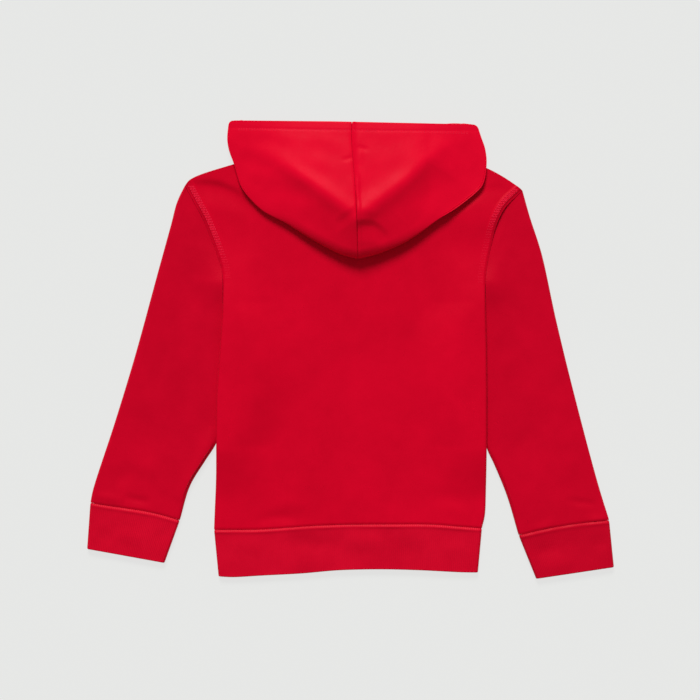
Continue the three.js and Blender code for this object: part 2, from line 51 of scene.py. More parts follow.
# The wearer's sides, and the way along X that leads outward on each
SIDES = ("left", "right")
OUTWARD = {"left": -1, "right": 1}

# Cloth thicknesses, seam gap and laid heights, as in the solids
FLEECE = 1.8
RIB = 2.4
HOOD_HEM = 3.0
SEAM_GAP = 0.3
LAID_FLEECE = 6.4
LAID_RIB = 6.8
OVER_FRONT = FLEECE + SEAM_GAP
OVER_BACK = LAID_FLEECE + SEAM_GAP

# Body outline in plan, from the hem seam up
BODY_SIDE = {
    "left": [(-150.2, -197.7), (-149.5, -178.5), (-147.9, -138.9), (-147.1, -55.3), (-143.8, -5.8),
             (-140.7, 38.2), (-140.2, 74.5)],
    "right": [(144.7, -196.1), (147.9, -182.0), (149.1, -153.2), (149.9, -55.3), (149.4, 0.0),
              (148.6, 38.2), (148.3, 70.1)],
}

# Armhole seams from the underarm up to the shoulder
ARMHOLE = {
    "left": [(-140.2, 74.5), (-141.6, 88.8), (-146.9, 105.3), (-161.2, 141.6), (-170.5, 159.2),
             (-182.1, 180.7)],
    "right": [(148.3, 70.1), (149.4, 88.0), (154.1, 111.9), (160.5, 137.0), (170.0, 156.0),
              (189.2, 175.1)],
}

# Shoulder seams, running left to right
SHOULDER = {
    "left": [(-182.1, 180.7), (-175.5, 187.8), (-128.2, 204.3), (-55.6, 224.1)],
    "right": [(65.5, 224.1), (149.6, 199.9), (184.0, 179.5), (189.2, 175.1)],
}

# Neck edges of the two panels, left to right
NECK_EDGE = {
    "back": [(-55.6, 224.1), (-35.8, 217.0), (5.0, 212.0), (45.7, 217.0), (65.5, 224.1)],
    "front": [(-55.6, 224.1), (-35.8, 217.5), (-16.0, 206.5), (5.0, 201.6), (25.9, 206.5),
              (45.7, 217.5), (65.5, 224.1)],
}

# Hem seam and lower edge of the hem band, left to right
HEM_SEAM = [(-150.2, -197.7), (-100.7, -197.4), (-42.4, -193.5), (-8.2, -192.2), (50.1, -191.7),
            (89.7, -191.9), (122.7, -194.4), (144.7, -196.1)]
HEM_EDGE = [(-145.2, -249.4), (-130.0, -250.2), (-98.5, -248.5), (-53.4, -246.1), (-13.8, -242.7),
            (33.6, -241.6), (78.2, -242.7), (122.7, -244.9), (140.2, -245.1)]

# Fold edges of each sleeve, from the cuff seam up past the armhole seam
SLEEVE_EDGE = {
    "left": {
        "outer": [(-286.3, -168.0), (-283.5, -154.3), (-259.6, -80.6), (-237.5, -8.0), (-212.2, 84.4),
                  (-197.5, 137.8), (-190.9, 162.5), (-181.6, 182.2)],
        "inner": [(-187.8, -187.6), (-176.6, -149.9), (-160.0, -122.4), (-147.6, -102.6),
                  (-120.5, -27.8), (-126.5, 10.0), (-131.5, 43.0), (-135.0, 56.0), (-136.5, 74.0),
                  (-129.0, 88.0), (-110.6, 115.2)],
    },
    "right": {
        "outer": [(284.7, -187.3), (272.2, -146.6), (243.7, -38.8), (226.1, 33.8), (210.2, 106.4),
                  (197.5, 146.0), (188.9, 176.6)],
        "inner": [(184.9, -203.8), (172.2, -160.9), (158.0, -126.0), (150.2, -109.2), (125.0, -28.9),
                  (133.0, 10.0), (137.0, 40.0), (142.0, 54.0), (144.0, 71.0), (136.0, 86.0),
                  (115.0, 113.0)],
    },
}

# Lower corners of each cuff
CUFF_EDGE = {
    "left": {"outer": (-289.9, -219.2), "inner": (-204.8, -234.6)},
    "right": {"outer": (289.9, -239.3), "inner": (204.4, -252.1)},
}

# The underarm half of each sleeve lies tucked below the body's side, which covers it up to cover_top
TUCK = {"top": 52, "bottom": -106, "depth": 29, "margin": 8, "ramp": 58, "run_out": 62,
        "lift_from": 128, "lift_to": 30, "underarm": 74.5, "sleeve_lift_from": 24, "sleeve_reach": 45,
        "cover_top": 77, "cover_fade": 7}

# Hood in plan: centre seam from the rim to the tip, and the fold round each side
HOOD_SEAM = [(1.7, 250.5), (0.9, 237.3), (1.7, 219.7), (3.9, 192.2), (5.8, 165.0), (8.2, 99.8)]
HOOD_FOLD = {
    "left": [(-133.7, 252.1), (-135.5, 231.8), (-133.7, 219.7), (-128.2, 204.3), (-120.5, 180.1),
             (-113.9, 170.2), (-96.3, 152.6), (-69.9, 138.3), (-50.1, 125.7), (-25.9, 111.9),
             (-6.1, 103.1), (8.2, 99.8)],
    "right": [(139.2, 247.8), (143.6, 234.0), (148.0, 220.8), (149.6, 205.0), (145.8, 182.3),
              (139.2, 174.0), (115.0, 154.8), (96.3, 143.2), (78.2, 129.5), (61.1, 118.5),
              (42.4, 109.7), (27.0, 104.2), (8.2, 99.8)],
}

# Crest of the hood in plan, where its cloth turns down towards the fold
HOOD_CREST = [(-138, 233), (-116, 222), (-88, 208), (-52, 188), (-22, 166), (5, 147), (17, 149),
              (45, 171), (72, 194), (94, 216), (122, 231), (150, 236)]

# Heights along the hood's fold, by the share of the way from the rim corner to the tip
FOLD_SHARES = [0.0, 0.25, 0.55, 0.8, 1.0]
FOLD_HEIGHTS = {"left": [8.4, 10.4, 12.4, 14.0, 14.6], "right": [8.4, 12.0, 15.4, 15.8, 14.6]}

HOOD = {"middle": 5.0, "half_width": 137, "rim_y": 250.5, "rim_height": 16.5,
        "rim_height_at_corner": 11, "climb": 0.208, "climb_lost": 0.8, "climb_fade": (0.42, 0.92),
        "crest_round": 0.13, "least_roll": 14, "edge_roll": 10, "edge_share": 0.33, "under_roll": 14,
        "hem_width": 11, "wing_height": 4.5, "last_row_before_tip": 8, "shoulder_share": 0.22,
        "corner_radius": 5.0}

# Lower rim of the hood, and its neck edge from the centre front round to the nape, for the left half
HOOD_LOWER_RIM = [(-100.0, 249.0), (-62.0, 243.0), (-32.0, 232.0), (-10.0, 214.0)]
HOOD_NECK_FRONT = [(4.85, 199.6, OVER_FRONT), (-16.0, 204.5, OVER_FRONT), (-34.0, 219.5, 3.4),
                   (-45.0, 227.5, 6.0), (-56.0, 224.5, OVER_BACK)]
HOOD_NECK_BACK = [(-56.0, 224.5, OVER_BACK), (-36.0, 216.2, OVER_BACK), (4.85, 211.0, OVER_BACK)]

# Broad soft folds that the solids have too: x, y, angle of the ridge from X, length, width, height
SOFT_FOLDS = {
    "back_panel": [(-68, -182, 6, 60, 16, -0.9), (105, -172, -8, 50, 15, -0.8),
                   (-100, 130, -50, 80, 22, -0.8), (110, 120, 55, 80, 22, -0.7)],
    "sleeve_left": [(-238, -140, -20, 50, 15, -0.5), (-205, -95, -35, 60, 16, -0.6)],
    "sleeve_right": [(240, -150, 18, 55, 15, -0.5), (195, -95, 40, 60, 16, -0.6)],
}

# Creases on the uppermost cloth, listed one by one: points of the line, half width, height
CREASES = {
    "back_panel": [
        ([(-92, -176), (-62, -170), (-36, -176)], 8.0, 0.6),
        ([(-104, -188), (-80, -184), (-52, -187)], 5.0, -0.7),
        ([(88, -182), (112, -176), (132, -184)], 8.0, 0.6),
        ([(84, -166), (106, -160), (126, -166)], 8.0, -0.4),
        ([(108, 134), (150, 148), (190, 150)], 24.0, 3.0),
        ([(-28, -186), (-8, -176), (6, -150)], 8.0, 0.4),
        ([(30, -186), (42, -170), (50, -140)], 9.0, -0.4),
        ([(-128, 84), (-112, 96), (-96, 104)], 10.0, 0.25),
        ([(136, 80), (120, 92), (104, 100)], 10.0, 0.25),
        ([(-60, 40), (-52, -20), (-58, -90)], 18.0, 0.5),
        ([(-14, 60), (-20, 0), (-14, -80)], 16.0, -0.4),
        ([(44, 50), (38, -30), (46, -110)], 20.0, 0.4),
        ([(92, 30), (86, -40), (94, -120)], 18.0, -0.25),
    ],
    "sleeve_left": [
        ([(-282, -160), (-266, -163), (-250, -167)], 4.5, 0.8),
        ([(-250, -162), (-236, -165), (-220, -168)], 4.0, -1.0),
        ([(-268, -150), (-252, -140), (-238, -128)], 9.0, -0.7),
        ([(-224, -120), (-212, -138), (-204, -158)], 9.0, 0.6),
        ([(-148, -88), (-168, -128), (-186, -168)], 8.0, 2.2),
        ([(-240, -100), (-222, -60), (-204, -10)], 15.0, 0.5),
        ([(-206, -96), (-190, -60), (-178, -20)], 14.0, -0.5),
        ([(-222, 10), (-200, 60), (-186, 110)], 13.0, 0.5),
        ([(-166, 110), (-172, 70), (-168, 30)], 10.0, -0.5),
        ([(-152, 62), (-170, 40), (-184, 6)], 9.0, 0.3),
    ],
    "sleeve_right": [
        ([(236, -165), (254, -168), (272, -170)], 3.6, -0.8),
        ([(256, -186), (270, -187), (286, -184)], 5.0, 0.8),
        ([(198, -197), (212, -195), (226, -190)], 4.5, 0.7),
        ([(158, -108), (173, -146), (185, -186)], 9.0, 1.1),
        ([(258, -100), (268, -132), (277, -164)], 6.0, 0.7),
        ([(240, -110), (224, -64), (206, -14)], 15.0, 0.5),
        ([(204, -104), (190, -66), (180, -26)], 14.0, -0.5),
        ([(214, 20), (196, 66), (190, 112)], 13.0, 0.6),
        ([(173, 154), (166, 130), (158, 104)], 3.4, 0.6),
        ([(174, 112), (176, 74), (172, 32)], 10.0, -0.5),
        ([(160, 60), (176, 36), (188, 0)], 9.0, 0.3),
    ],
    "hem_band": [
        ([(-78, -214), (-44, -213), (-8, -217)], 8.0, -1.2),
        ([(-70, -232), (-46, -236), (-20, -238)], 8.0, 0.6),
        ([(-8, -208), (14, -211), (38, -212)], 8.0, 1.1),
        ([(52, -216), (70, -222), (86, -220)], 8.0, -0.8),
        ([(-128, -212), (-112, -218), (-96, -216)], 8.0, 0.6),
        ([(98, -214), (114, -220), (130, -216)], 8.0, 0.7),
    ],
    "cuff_left": [
        ([(-280, -204), (-270, -206), (-260, -206)], 6.0, -0.6),
        ([(-258, -203), (-243, -206), (-228, -210)], 7.0, 0.8),
        ([(-218, -206), (-206, -204), (-196, -202)], 7.0, -0.8),
    ],
    "cuff_right": [
        ([(192, -222), (212, -221), (232, -217)], 7.0, -1.1),
        ([(206, -238), (226, -238), (246, -232)], 7.0, 0.8),
        ([(260, -214), (274, -213), (288, -212)], 6.0, -0.8),
    ],
    "hood_left": [
        ([(-96, 212), (-76, 204), (-52, 190), (-24, 169), (4, 151), (24, 138)], 10.0, 1.5),
        ([(-88, 190), (-66, 174), (-40, 160)], 12.0, -0.7),
        ([(4, 211), (-2, 209.5), (-9, 207)], 2.6, -0.5),
    ],
    "hood_right": [
        ([(104, 230), (90, 216), (72, 197), (46, 175), (10, 150), (-8, 136)], 11.0, 1.8),
        ([(98, 198), (78, 168), (56, 144)], 17.0, -1.2),
        ([(8, 224), (13, 220.5), (20, 219)], 2.8, -0.5),
        ([(10, 221), (10.5, 212), (9, 203)], 4.0, 0.5),
        ([(3, 152), (16, 153), (30, 148)], 5.5, 0.6),
    ],
}

# Steps in the cloth: points of the line from left to right, width of the fall below the line, width
# over which the cloth comes up again, depth
STEPS = {
    "back_panel": [
        ([(-180, 189), (-150, 188), (-134, 183), (-104, 168)], 8.0, 34.0, 2.4),
        ([(126, 170), (146, 181), (160, 184), (176, 181)], 6.0, 20.0, 0.4),
    ],
    "hood_left": [([(-18, 144), (-5, 153), (16, 166)], 9.0, 20.0, 0.9)],
    "hood_right": [([(-12, 137), (8, 143), (25, 143), (42, 131)], 9.0, 28.0, 2.1)],
}

# Creases and steps run out at both ends by this power of a half wave
TAPER = 0.7

# Unevenness of the laid cloth: seed, shortest and longest wave, height
UNEVENNESS = {
    "back_panel": (11, 22, 95, 0.13),
    "sleeve_left": (41, 20, 90, 0.17),
    "sleeve_right": (42, 20, 90, 0.17),
    "cuff_left": (61, 18, 80, 0.2),
    "cuff_right": (62, 18, 80, 0.2),
    "hem_band": (71, 18, 80, 0.2),
    "hood_left": (81, 20, 70, 0.3),
    "hood_right": (82, 20, 70, 0.3),
}
RIDGE_UNEVENNESS = {
    "cuff_left": (68, 12, 60, 0.14),
    "cuff_right": (69, 12, 60, 0.14),
    "hem_band": (78, 12, 60, 0.14),
}

# Puckers along the seams: seed, length of the seam, pitch, height, reach
PUCKERS = {
    "armhole_left": (20, 118, 7.5, 0.16, 7.0),
    "armhole_right": (21, 118, 7.5, 0.16, 7.0),
    "hem": (30, 296, 9.0, 0.18, 8.0),
    "cuff_left": (46, 100, 8.0, 0.22, 9.0),
    "cuff_right": (47, 100, 8.0, 0.22, 9.0),
}

# Bands raised by the topstitching: distances of both edges from the seam, slope of an edge, height
ARMHOLE_BAND = {"inner": 2.6, "outer": 9.2, "edge": 1.8, "height": 1.0}
ARMHOLE_BAND_FADE = {"left": (84, 132), "right": (112, 162)}
HOOD_SEAM_BAND = {"inner": 0.8, "outer": 4.4, "edge": 1.2, "height": 0.95, "low_end": 160, "fade": 16,
                  "low_share": 0.45}

# Furrows that the seams draw into the cloth, and how they change along a seam or in other cloth
SEAM_DIP = {"depth": 1.1, "width": 2.4}
ARMHOLE_DIP = {"depth": 1.4, "width": 3.0}
ARMHOLE_HOLLOW = {"depth": 1.9, "width": 9.0, "low_y": 68, "high_y": 96}
ARMHOLE_SHALLOW = {"low_y": 125, "high_y": 176, "share": 0.3}
RIB_DIP_SHARE = 0.55
HOOD_DIP = {"share": 0.7, "narrowing": 1.5}


def smooth(start, end, value):
    share = np.clip((value - start) / (end - start), 0.0, 1.0)
    return share * share * (3.0 - 2.0 * share)


def mix(low, high, share):
    return low + (high - low) * share


def spread(u, v):
    """Two sets of shares as arrays of one shape."""
    return np.broadcast_arrays(np.asarray(u, dtype=float), np.asarray(v, dtype=float))


def lengths_along(line):
    """Length of each span of a line of points, and the way along it to each point."""
    lengths = np.linalg.norm(np.diff(line, axis=0), axis=1)
    return lengths, np.concatenate([[0.0], np.cumsum(lengths)])


def plan_tangent(line):
    """Unit vectors in plan along a line of points."""
    tangent = np.gradient(line[:, :2], axis=0)
    return tangent / np.linalg.norm(tangent, axis=1)[:, None]


class Curve:
    """A smooth curve through a table of points, by the share of its length."""

    STEPS = 48

    def __init__(self, table):
        points = np.array([(*row, 0.0)[:3] for row in table], dtype=float)
        ahead = 2 * points[-1] - points[-2]
        behind = 2 * points[0] - points[1]
        padded = np.vstack([behind, points, ahead])
        spans = []
        steps = np.linspace(0.0, 1.0, self.STEPS, endpoint=False)[:, None]
        for k in range(len(points) - 1):
            spans.append(self.span(padded[k:k + 4], steps))
        self.points = np.vstack(spans + [points[-1:]])
        lengths, reach = lengths_along(self.points)
        self.shares = reach / lengths.sum()

    @staticmethod
    def span(corners, steps):
        first, middle, last = np.sqrt(np.linalg.norm(np.diff(corners, axis=0), axis=1))
        before, here, after, beyond = corners
        start = (here - before) / first - (after - before) / (first + middle) + (after - here) / middle
        end = (after - here) / middle - (beyond - here) / (middle + last) + (beyond - after) / last
        start = start * middle
        end = end * middle
        square = -3 * here + 3 * after - 2 * start - end
        cube = 2 * here - 2 * after + start + end
        return here + start * steps + square * steps ** 2 + cube * steps ** 3

    def __call__(self, share):
        share = np.asarray(share, dtype=float)
        return np.stack([np.interp(share, self.shares, self.points[:, k]) for k in range(3)], axis=-1)


def joined(*spans):
    """Curves end to end, each over its own span of the whole."""
    def curve(share):
        share = np.asarray(share, dtype=float)
        result = np.zeros(share.shape + (3,))
        start = 0.0
        for piece, end in spans:
            inside = (share >= start) if start > 0.0 else np.ones(share.shape, dtype=bool)
            result[inside] = piece(np.clip((share[inside] - start) / (end - start), 0.0, 1.0))
            start = end
        return result
    return curve


def patch(low, high, left, right):
    """A patch between four edges: u runs left to right, v from the first edge to the second."""
    corners = [low(0.0), low(1.0), high(0.0), high(1.0)]

    def surface(u, v):
        u, v = spread(u, v)
        across = mix(low(u), high(u), v[..., None])
        along = mix(left(v), right(v), u[..., None])
        return (across + along
                - ((1 - u) * (1 - v))[..., None] * corners[0] - (u * (1 - v))[..., None] * corners[1]
                - ((1 - u) * v)[..., None] * corners[2] - (u * v)[..., None] * corners[3])
    return surface


def line_distance(line, x, y):
    """Distance in plan from points to a line of points, and the share of the way along it."""
    line = np.asarray(line, dtype=float)[:, :2]
    lengths, starts = lengths_along(line)
    least = np.full(np.shape(x), np.inf)
    share = np.zeros(np.shape(x))
    for k, length in enumerate(lengths):
        if length < 1e-9:
            continue
        way = (line[k + 1] - line[k]) / length
        along = np.clip((x - line[k, 0]) * way[0] + (y - line[k, 1]) * way[1], 0.0, length)
        apart = np.hypot(x - line[k, 0] - along * way[0], y - line[k, 1] - along * way[1])
        nearer = apart < least
        least = np.where(nearer, apart, least)
        share = np.where(nearer, (starts[k] + along) / starts[-1], share)
    return least, share


def soft_folds(name, x, y):
    height = np.zeros(np.shape(x))
    for middle_x, middle_y, angle, length, width, rise in SOFT_FOLDS.get(name, []):
        turn = math.radians(angle)
        along = (x - middle_x) * math.cos(turn) + (y - middle_y) * math.sin(turn)
        across = (y - middle_y) * math.cos(turn) - (x - middle_x) * math.sin(turn)
        height += rise * np.exp(-(2 * along / length) ** 2 - (across / width) ** 2)
    return height


def creases(name, x, y):
    height = np.zeros(np.shape(x))
    for points, width, rise in CREASES.get(name, []):
        apart, share = line_distance(Curve(points).points[::6], x, y)
        taper = np.sin(math.pi * np.clip(share, 0.0, 1.0)) ** TAPER
        height += rise * taper * np.exp(-(apart / width) ** 2)
    return height


def undulation(x, y, seed, shortest, longest, height, count=14):
    """Smooth unevenness of laid cloth: a sum of waves in seeded directions."""
    source = np.random.default_rng(seed)
    total = np.zeros(np.shape(x))
    for _ in range(count):
        turn = source.uniform(0.0, math.pi)
        length = math.exp(source.uniform(math.log(shortest), math.log(longest)))
        phase = source.uniform(0.0, 2 * math.pi)
        wave = (x * math.cos(turn) + y * math.sin(turn)) * 2 * math.pi / length + phase
        total += np.sin(wave) * length / longest
    return height * total / math.sqrt(count / 2)


def pucker(name, line, x, y):
    """Short waves drawn up along a seam, fading with the distance from it."""
    seed, length, pitch, height, reach = PUCKERS[name]
    apart, share = line_distance(line, x, y)
    along = share * length
    source = np.random.default_rng(seed)
    shift = source.uniform(0.0, 6.0, 3)
    wave = np.sin(2 * math.pi * along / pitch + 1.3 * np.sin(along / 17.0 + shift[0]) + shift[1])
    strength = 0.6 + 0.4 * np.sin(along / 23.0 + shift[2])
    return height * wave * strength * np.exp(-(apart / reach) ** 2)


def bump_between(distance, band):
    rise = smooth(band["inner"] - band["edge"] / 2, band["inner"] + band["edge"] / 2, distance)
    fall = smooth(band["outer"] - band["edge"] / 2, band["outer"] + band["edge"] / 2, distance)
    return band["height"] * (rise - fall)


def seam_dip(distance, dip=SEAM_DIP):
    return -dip["depth"] * (1 - smooth(0.0, dip["width"], distance)) ** 1.5


def steps(name, x, y):
    height = np.zeros(np.shape(x))
    for points, fall, rise, depth in STEPS.get(name, []):
        line = Curve(points).points
        below = np.interp(x, line[:, 0], line[:, 1]) - y
        share = np.clip((x - line[0, 0]) / (line[-1, 0] - line[0, 0]), 0.0, 1.0)
        taper = np.sin(math.pi * share) ** TAPER
        height -= depth * taper * smooth(0.0, fall, below) * (1 - smooth(fall, rise, below))
    return height


def armhole_share(y):
    """The armhole seam sinks less at the shoulder than at the underarm."""
    shallow = smooth(ARMHOLE_SHALLOW["low_y"], ARMHOLE_SHALLOW["high_y"], y)
    return mix(1.0, ARMHOLE_SHALLOW["share"], shallow)


# Meshes

def wall_faces(rows, columns, closed_round):
    """Quads of a closed wall between two grids of points, each with rows times columns points."""
    spans = columns if closed_round else columns - 1

    def at(grid, i, j):
        return (grid * rows + i) * columns + j % columns

    def quads(*corners):
        return np.stack([at(*corner) for corner in corners], axis=1)

    row, column = np.meshgrid(np.arange(rows - 1), np.arange(spans), indexing="ij")
    row = row.ravel()
    column = column.ravel()
    along = np.arange(spans)
    first = np.zeros(spans, dtype=int)
    last = np.full(spans, rows - 1)
    faces = [
        quads((0, row, column), (0, row, column + 1), (0, row + 1, column + 1), (0, row + 1, column)),
        quads((1, row, column), (1, row + 1, column), (1, row + 1, column + 1), (1, row, column + 1)),
        quads((0, first, along), (1, first, along), (1, first, along + 1), (0, first, along + 1)),
        quads((0, last, along), (0, last, along + 1), (1, last, along + 1), (1, last, along)),
    ]
    if not closed_round:
        down = np.arange(rows - 1)
        near = np.zeros(rows - 1, dtype=int)
        far = np.full(rows - 1, spans)
        faces += [
            quads((0, down, near), (0, down + 1, near), (1, down + 1, near), (1, down, near)),
            quads((0, down, far), (1, down, far), (1, down + 1, far), (0, down + 1, far)),
        ]
    return np.vstack(faces)


def new_object(name, vertices, faces, material):
    mesh = bpy.data.meshes.new(name)
    faces = faces.tolist() if isinstance(faces, np.ndarray) else faces
    mesh.from_pydata((np.asarray(vertices) * MM).tolist(), [], faces)
    mesh.validate()
    piece = bpy.data.objects.new(name, mesh)
    bpy.context.scene.collection.objects.link(piece)
    mesh.materials.append(material)
    return piece


def turn_outward(mesh, cut_to_triangles=False):
    work = bmesh.new()
    work.from_mesh(mesh)
    bmesh.ops.recalc_face_normals(work, faces=work.faces)
    if cut_to_triangles:
        bmesh.ops.triangulate(work, faces=work.faces)
    work.to_mesh(mesh)
    work.free()


def finish_mesh(piece, sharp_degrees=48):
    turn_outward(piece.data)
    piece.data.shade_smooth()
    piece.data.set_sharp_from_angle(angle=math.radians(sharp_degrees))
    return piece


def wall_piece(name, outer, inner, material, closed_round=False):
    rows, columns = outer.shape[:2]
    vertices = np.vstack([outer.reshape(-1, 3), inner.reshape(-1, 3)])
    return new_object(name, vertices, wall_faces(rows, columns, closed_round), material)


# Materials

def feed(tree, target, inputs):
    """Set a node's inputs, each from a value or from the socket that drives it."""
    for key, value in inputs.items():
        if isinstance(value, bpy.types.NodeSocket):
            tree.links.new(value, target.inputs[key])
        else:
            target.inputs[key].default_value = value


def add_node(tree, kind, inputs, output, **settings):
    made = tree.nodes.new(kind)
    for key, value in settings.items():
        setattr(made, key, value)
    feed(tree, made, inputs)
    return made.outputs[output]


def object_coordinates(tree):
    return add_node(tree, "ShaderNodeTexCoord", {}, "Object")


def ramp(tree, value, start, end, low, high):
    inputs = {"Value": value, "From Min": start, "From Max": end, "To Min": low, "To Max": high}
    return add_node(tree, "ShaderNodeMapRange", inputs, "Result")


def noise(tree, place, scale, detail):
    return add_node(tree, "ShaderNodeTexNoise", {"Scale": scale, "Detail": detail, "Vector": place}, "Fac")


def bands(tree, place, direction, pitch, distortion):
    """Bands across one axis, pitch in metres."""
    inputs = {"Scale": 2 * math.pi / 20 / pitch, "Distortion": distortion, "Detail": 1.0,
              "Detail Scale": 1.5, "Vector": place}
    return add_node(tree, "ShaderNodeTexWave", inputs, "Fac", bands_direction=direction)


def weighted_sum(tree, first, weight, second):
    inputs = {0: first, 1: weight, 2: second}
    return add_node(tree, "ShaderNodeMath", inputs, 0, operation="MULTIPLY_ADD")


def mix_colour(tree, share, shades):
    dark, light = shades
    return add_node(tree, "ShaderNodeMix", {0: share, 6: (*dark, 1.0), 7: (*light, 1.0)}, 2,
                    data_type="RGBA")


def bump(tree, height, distance, below):
    inputs = {"Strength": BUMP_STRENGTH, "Distance": distance, "Height": height, **below}
    return add_node(tree, "ShaderNodeBump", inputs, "Normal")


def new_material(name):
    material = bpy.data.materials.new(name)
    material.use_nodes = True
    return material, material.node_tree, material.node_tree.nodes["Principled BSDF"]


def knit_material(name, shades, turn, wale_pitch, course_pitch, sheen):
    """Cotton knit in the given shades (dyed colour, with painted light on the hood and painted shade on the
    sleeves and right cuff): uneven colour, fine wales and courses, a raised nap and a little sheen.
    """
    material, tree, shader = new_material(name)
    turned = {"Vector": object_coordinates(tree), "Rotation": (0.0, 0.0, math.radians(turn))}
    place = add_node(tree, "ShaderNodeMapping", turned, "Vector")
    broad = noise(tree, place, 14.0, 2.0)
    middle = noise(tree, place, 75.0, 3.0)
    fine = noise(tree, place, 900.0, 2.0)
    wales = bands(tree, place, "X", wale_pitch, 0.6)
    courses = bands(tree, place, "Y", course_pitch, 0.8)
    clouds = weighted_sum(tree, broad, 0.55, weighted_sum(tree, middle, 0.3, 0.0))
    grain = weighted_sum(tree, fine, 0.15, clouds)
    weave = bump(tree, weighted_sum(tree, courses, 0.5, wales), WEAVE_DEPTH, {})
    feed(tree, shader, {
        "Base Color": mix_colour(tree, ramp(tree, grain, 0.3, 0.7, 0.0, 1.0), shades),
        "Roughness": ramp(tree, middle, 0.0, 1.0, 0.34, 0.42),
        "Normal": bump(tree, fine, NAP_DEPTH, {"Normal": weave}),
        "Specular IOR Level": 0.04,
        "Sheen Weight": sheen,
        "Sheen Roughness": 0.35,
        "Sheen Tint": (1.0, 0.10, 0.16, 1.0),
    })
    return material


def thread_material():
    material, tree, shader = new_material("red_thread")
    speck = noise(tree, object_coordinates(tree), 1200.0, 1.0)
    feed(tree, shader, {
        "Base Color": mix_colour(tree, speck, THREAD_SHADES),
        "Roughness": 0.6,
        "Specular IOR Level": 0.0,
    })
    return material


# Relief of the weave and the nap: strength, and depths in metres
BUMP_STRENGTH = 0.35
WEAVE_DEPTH = 0.00012
NAP_DEPTH = 0.00025

# Darker and lighter shade of each dyed cloth; the sleeve and right cuff copies are darkened as painted shade
# and the hood copy lightened as painted light
BODY_SHADES = ((0.550, 0.0002, 0.0165), (0.640, 0.0004, 0.0205))
# Sleeve fleece: the body's fleece darkened, as painted shade where the sleeves lie lower beside the body
SLEEVE_PAINTED_SHADE = ((0.495, 0.0002, 0.0155), (0.585, 0.0005, 0.0195))
# Hood fleece: the body's fleece lightened, as painted light on the hood that faces the key light
HOOD_PAINTED_LIGHT = ((0.640, 0.0004, 0.0200), (0.735, 0.0010, 0.0245))
RIB_SHADES = ((0.53, 0.0010, 0.0180), (0.64, 0.0025, 0.0250))
# Right cuff rib: the rib darkened, as painted shade on the cuff turned away from the light
RIB_PAINTED_SHADE = ((0.47, 0.0007, 0.0160), (0.57, 0.0016, 0.0210))
THREAD_SHADES = ((0.67, 0.008, 0.038), (0.86, 0.026, 0.076))

# Pitch of the wales and of the courses in metres, and sheen
FLEECE_KNIT = (0.0013, 0.0010, 0.18)
HEM_KNIT = (0.0022, 0.0011, 0.06)
CUFF_KNIT = (0.0020, 0.0011, 0.06)

# Each cloth: shades, turn of the wales in plan in degrees, then pitches and sheen
KNITS = {
    "fleece_body": (BODY_SHADES, 0, *FLEECE_KNIT),
    "fleece_sleeve_left": (SLEEVE_PAINTED_SHADE, 16, *FLEECE_KNIT),
    "fleece_sleeve_right": (SLEEVE_PAINTED_SHADE, -16, *FLEECE_KNIT),
    "fleece_hood_left": (HOOD_PAINTED_LIGHT, 4, *FLEECE_KNIT),
    "fleece_hood_right": (HOOD_PAINTED_LIGHT, -4, *FLEECE_KNIT),
    "rib_hem": (RIB_SHADES, 0, *HEM_KNIT),
    "rib_cuff_left": (RIB_SHADES, 12, *CUFF_KNIT),
    "rib_cuff_right": (RIB_PAINTED_SHADE, -12, *CUFF_KNIT),
}
knit = {name: knit_material(name, *row) for name, row in KNITS.items()}
thread = thread_material()

# Body panels

UNDERARM_SHARE = 0.68
LEFT_NECK_SHARE = 0.341
RIGHT_NECK_SHARE = 0.667
FOLD_FADE = 0.02
BODY_LENGTH = 400
FOLD_DEGREES = [0, 15, 30, 45, 60, 75]

side_of = {side: joined((Curve(BODY_SIDE[side]), UNDERARM_SHARE), (Curve(ARMHOLE[side]), 1.0))
           for side in SIDES}
armhole_line = {side: Curve(ARMHOLE[side]).points for side in SIDES}
hem_line = Curve(HEM_SEAM).points


def top_edge(neck):
    return joined((Curve(SHOULDER["left"]), LEFT_NECK_SHARE), (Curve(neck), RIGHT_NECK_SHARE),
                  (Curve(SHOULDER["right"]), 1.0))


def stations(flat_shares, fold_degrees):
    """Stations across one layer: side, share over the flat, angle round the fold."""
    turned = np.radians(fold_degrees)
    ends = np.zeros(len(turned))
    side = np.concatenate([ends - 1, np.zeros(len(flat_shares)), ends + 1])
    share = np.concatenate([ends, flat_shares, ends])
    angle = np.concatenate([turned, np.full(len(flat_shares), math.pi / 2), turned[::-1]])
    return side, share, angle


def along_row(side, share, angle, length, fold_radius, radius, held):
    """Distance along a row of each station; held is 1 where the edge of the row is a fold."""
    inset = fold_radius - mix(fold_radius, radius, held) * np.cos(angle)
    flat = fold_radius + share * (length - 2 * fold_radius)
    return np.where(side == 0, flat, np.where(side < 0, inset, length - inset))


def side_lift(y):
    """How far the sleeve tucked below lifts the body's side."""
    risen = smooth(TUCK["bottom"] - TUCK["run_out"], TUCK["bottom"], y)
    return OVER_BACK * risen * (1 - smooth(TUCK["lift_to"], TUCK["lift_from"], y))


def tuck_lift(x, y, left_edge, right_edge):
    inward = np.minimum(x - left_edge, right_edge - x)
    share = np.clip((TUCK["top"] - y) / (TUCK["top"] - TUCK["bottom"]), 0.0, 1.0)
    depth = TUCK["depth"] * np.sin(math.pi * share) + TUCK["margin"]
    return side_lift(y) * (1 - smooth(depth, depth + TUCK["ramp"], inward))


def sleeve_lift(side, x, y):
    """Round the armhole the sleeve rises with the body that it is sewn to."""
    apart, _ = line_distance(armhole_line[side], x, y)
    risen = smooth(TUCK["sleeve_lift_from"], TUCK["underarm"], y)
    lift = side_lift(np.maximum(y, TUCK["underarm"])) * risen
    return lift * (1 - smooth(0.0, TUCK["sleeve_reach"], apart))


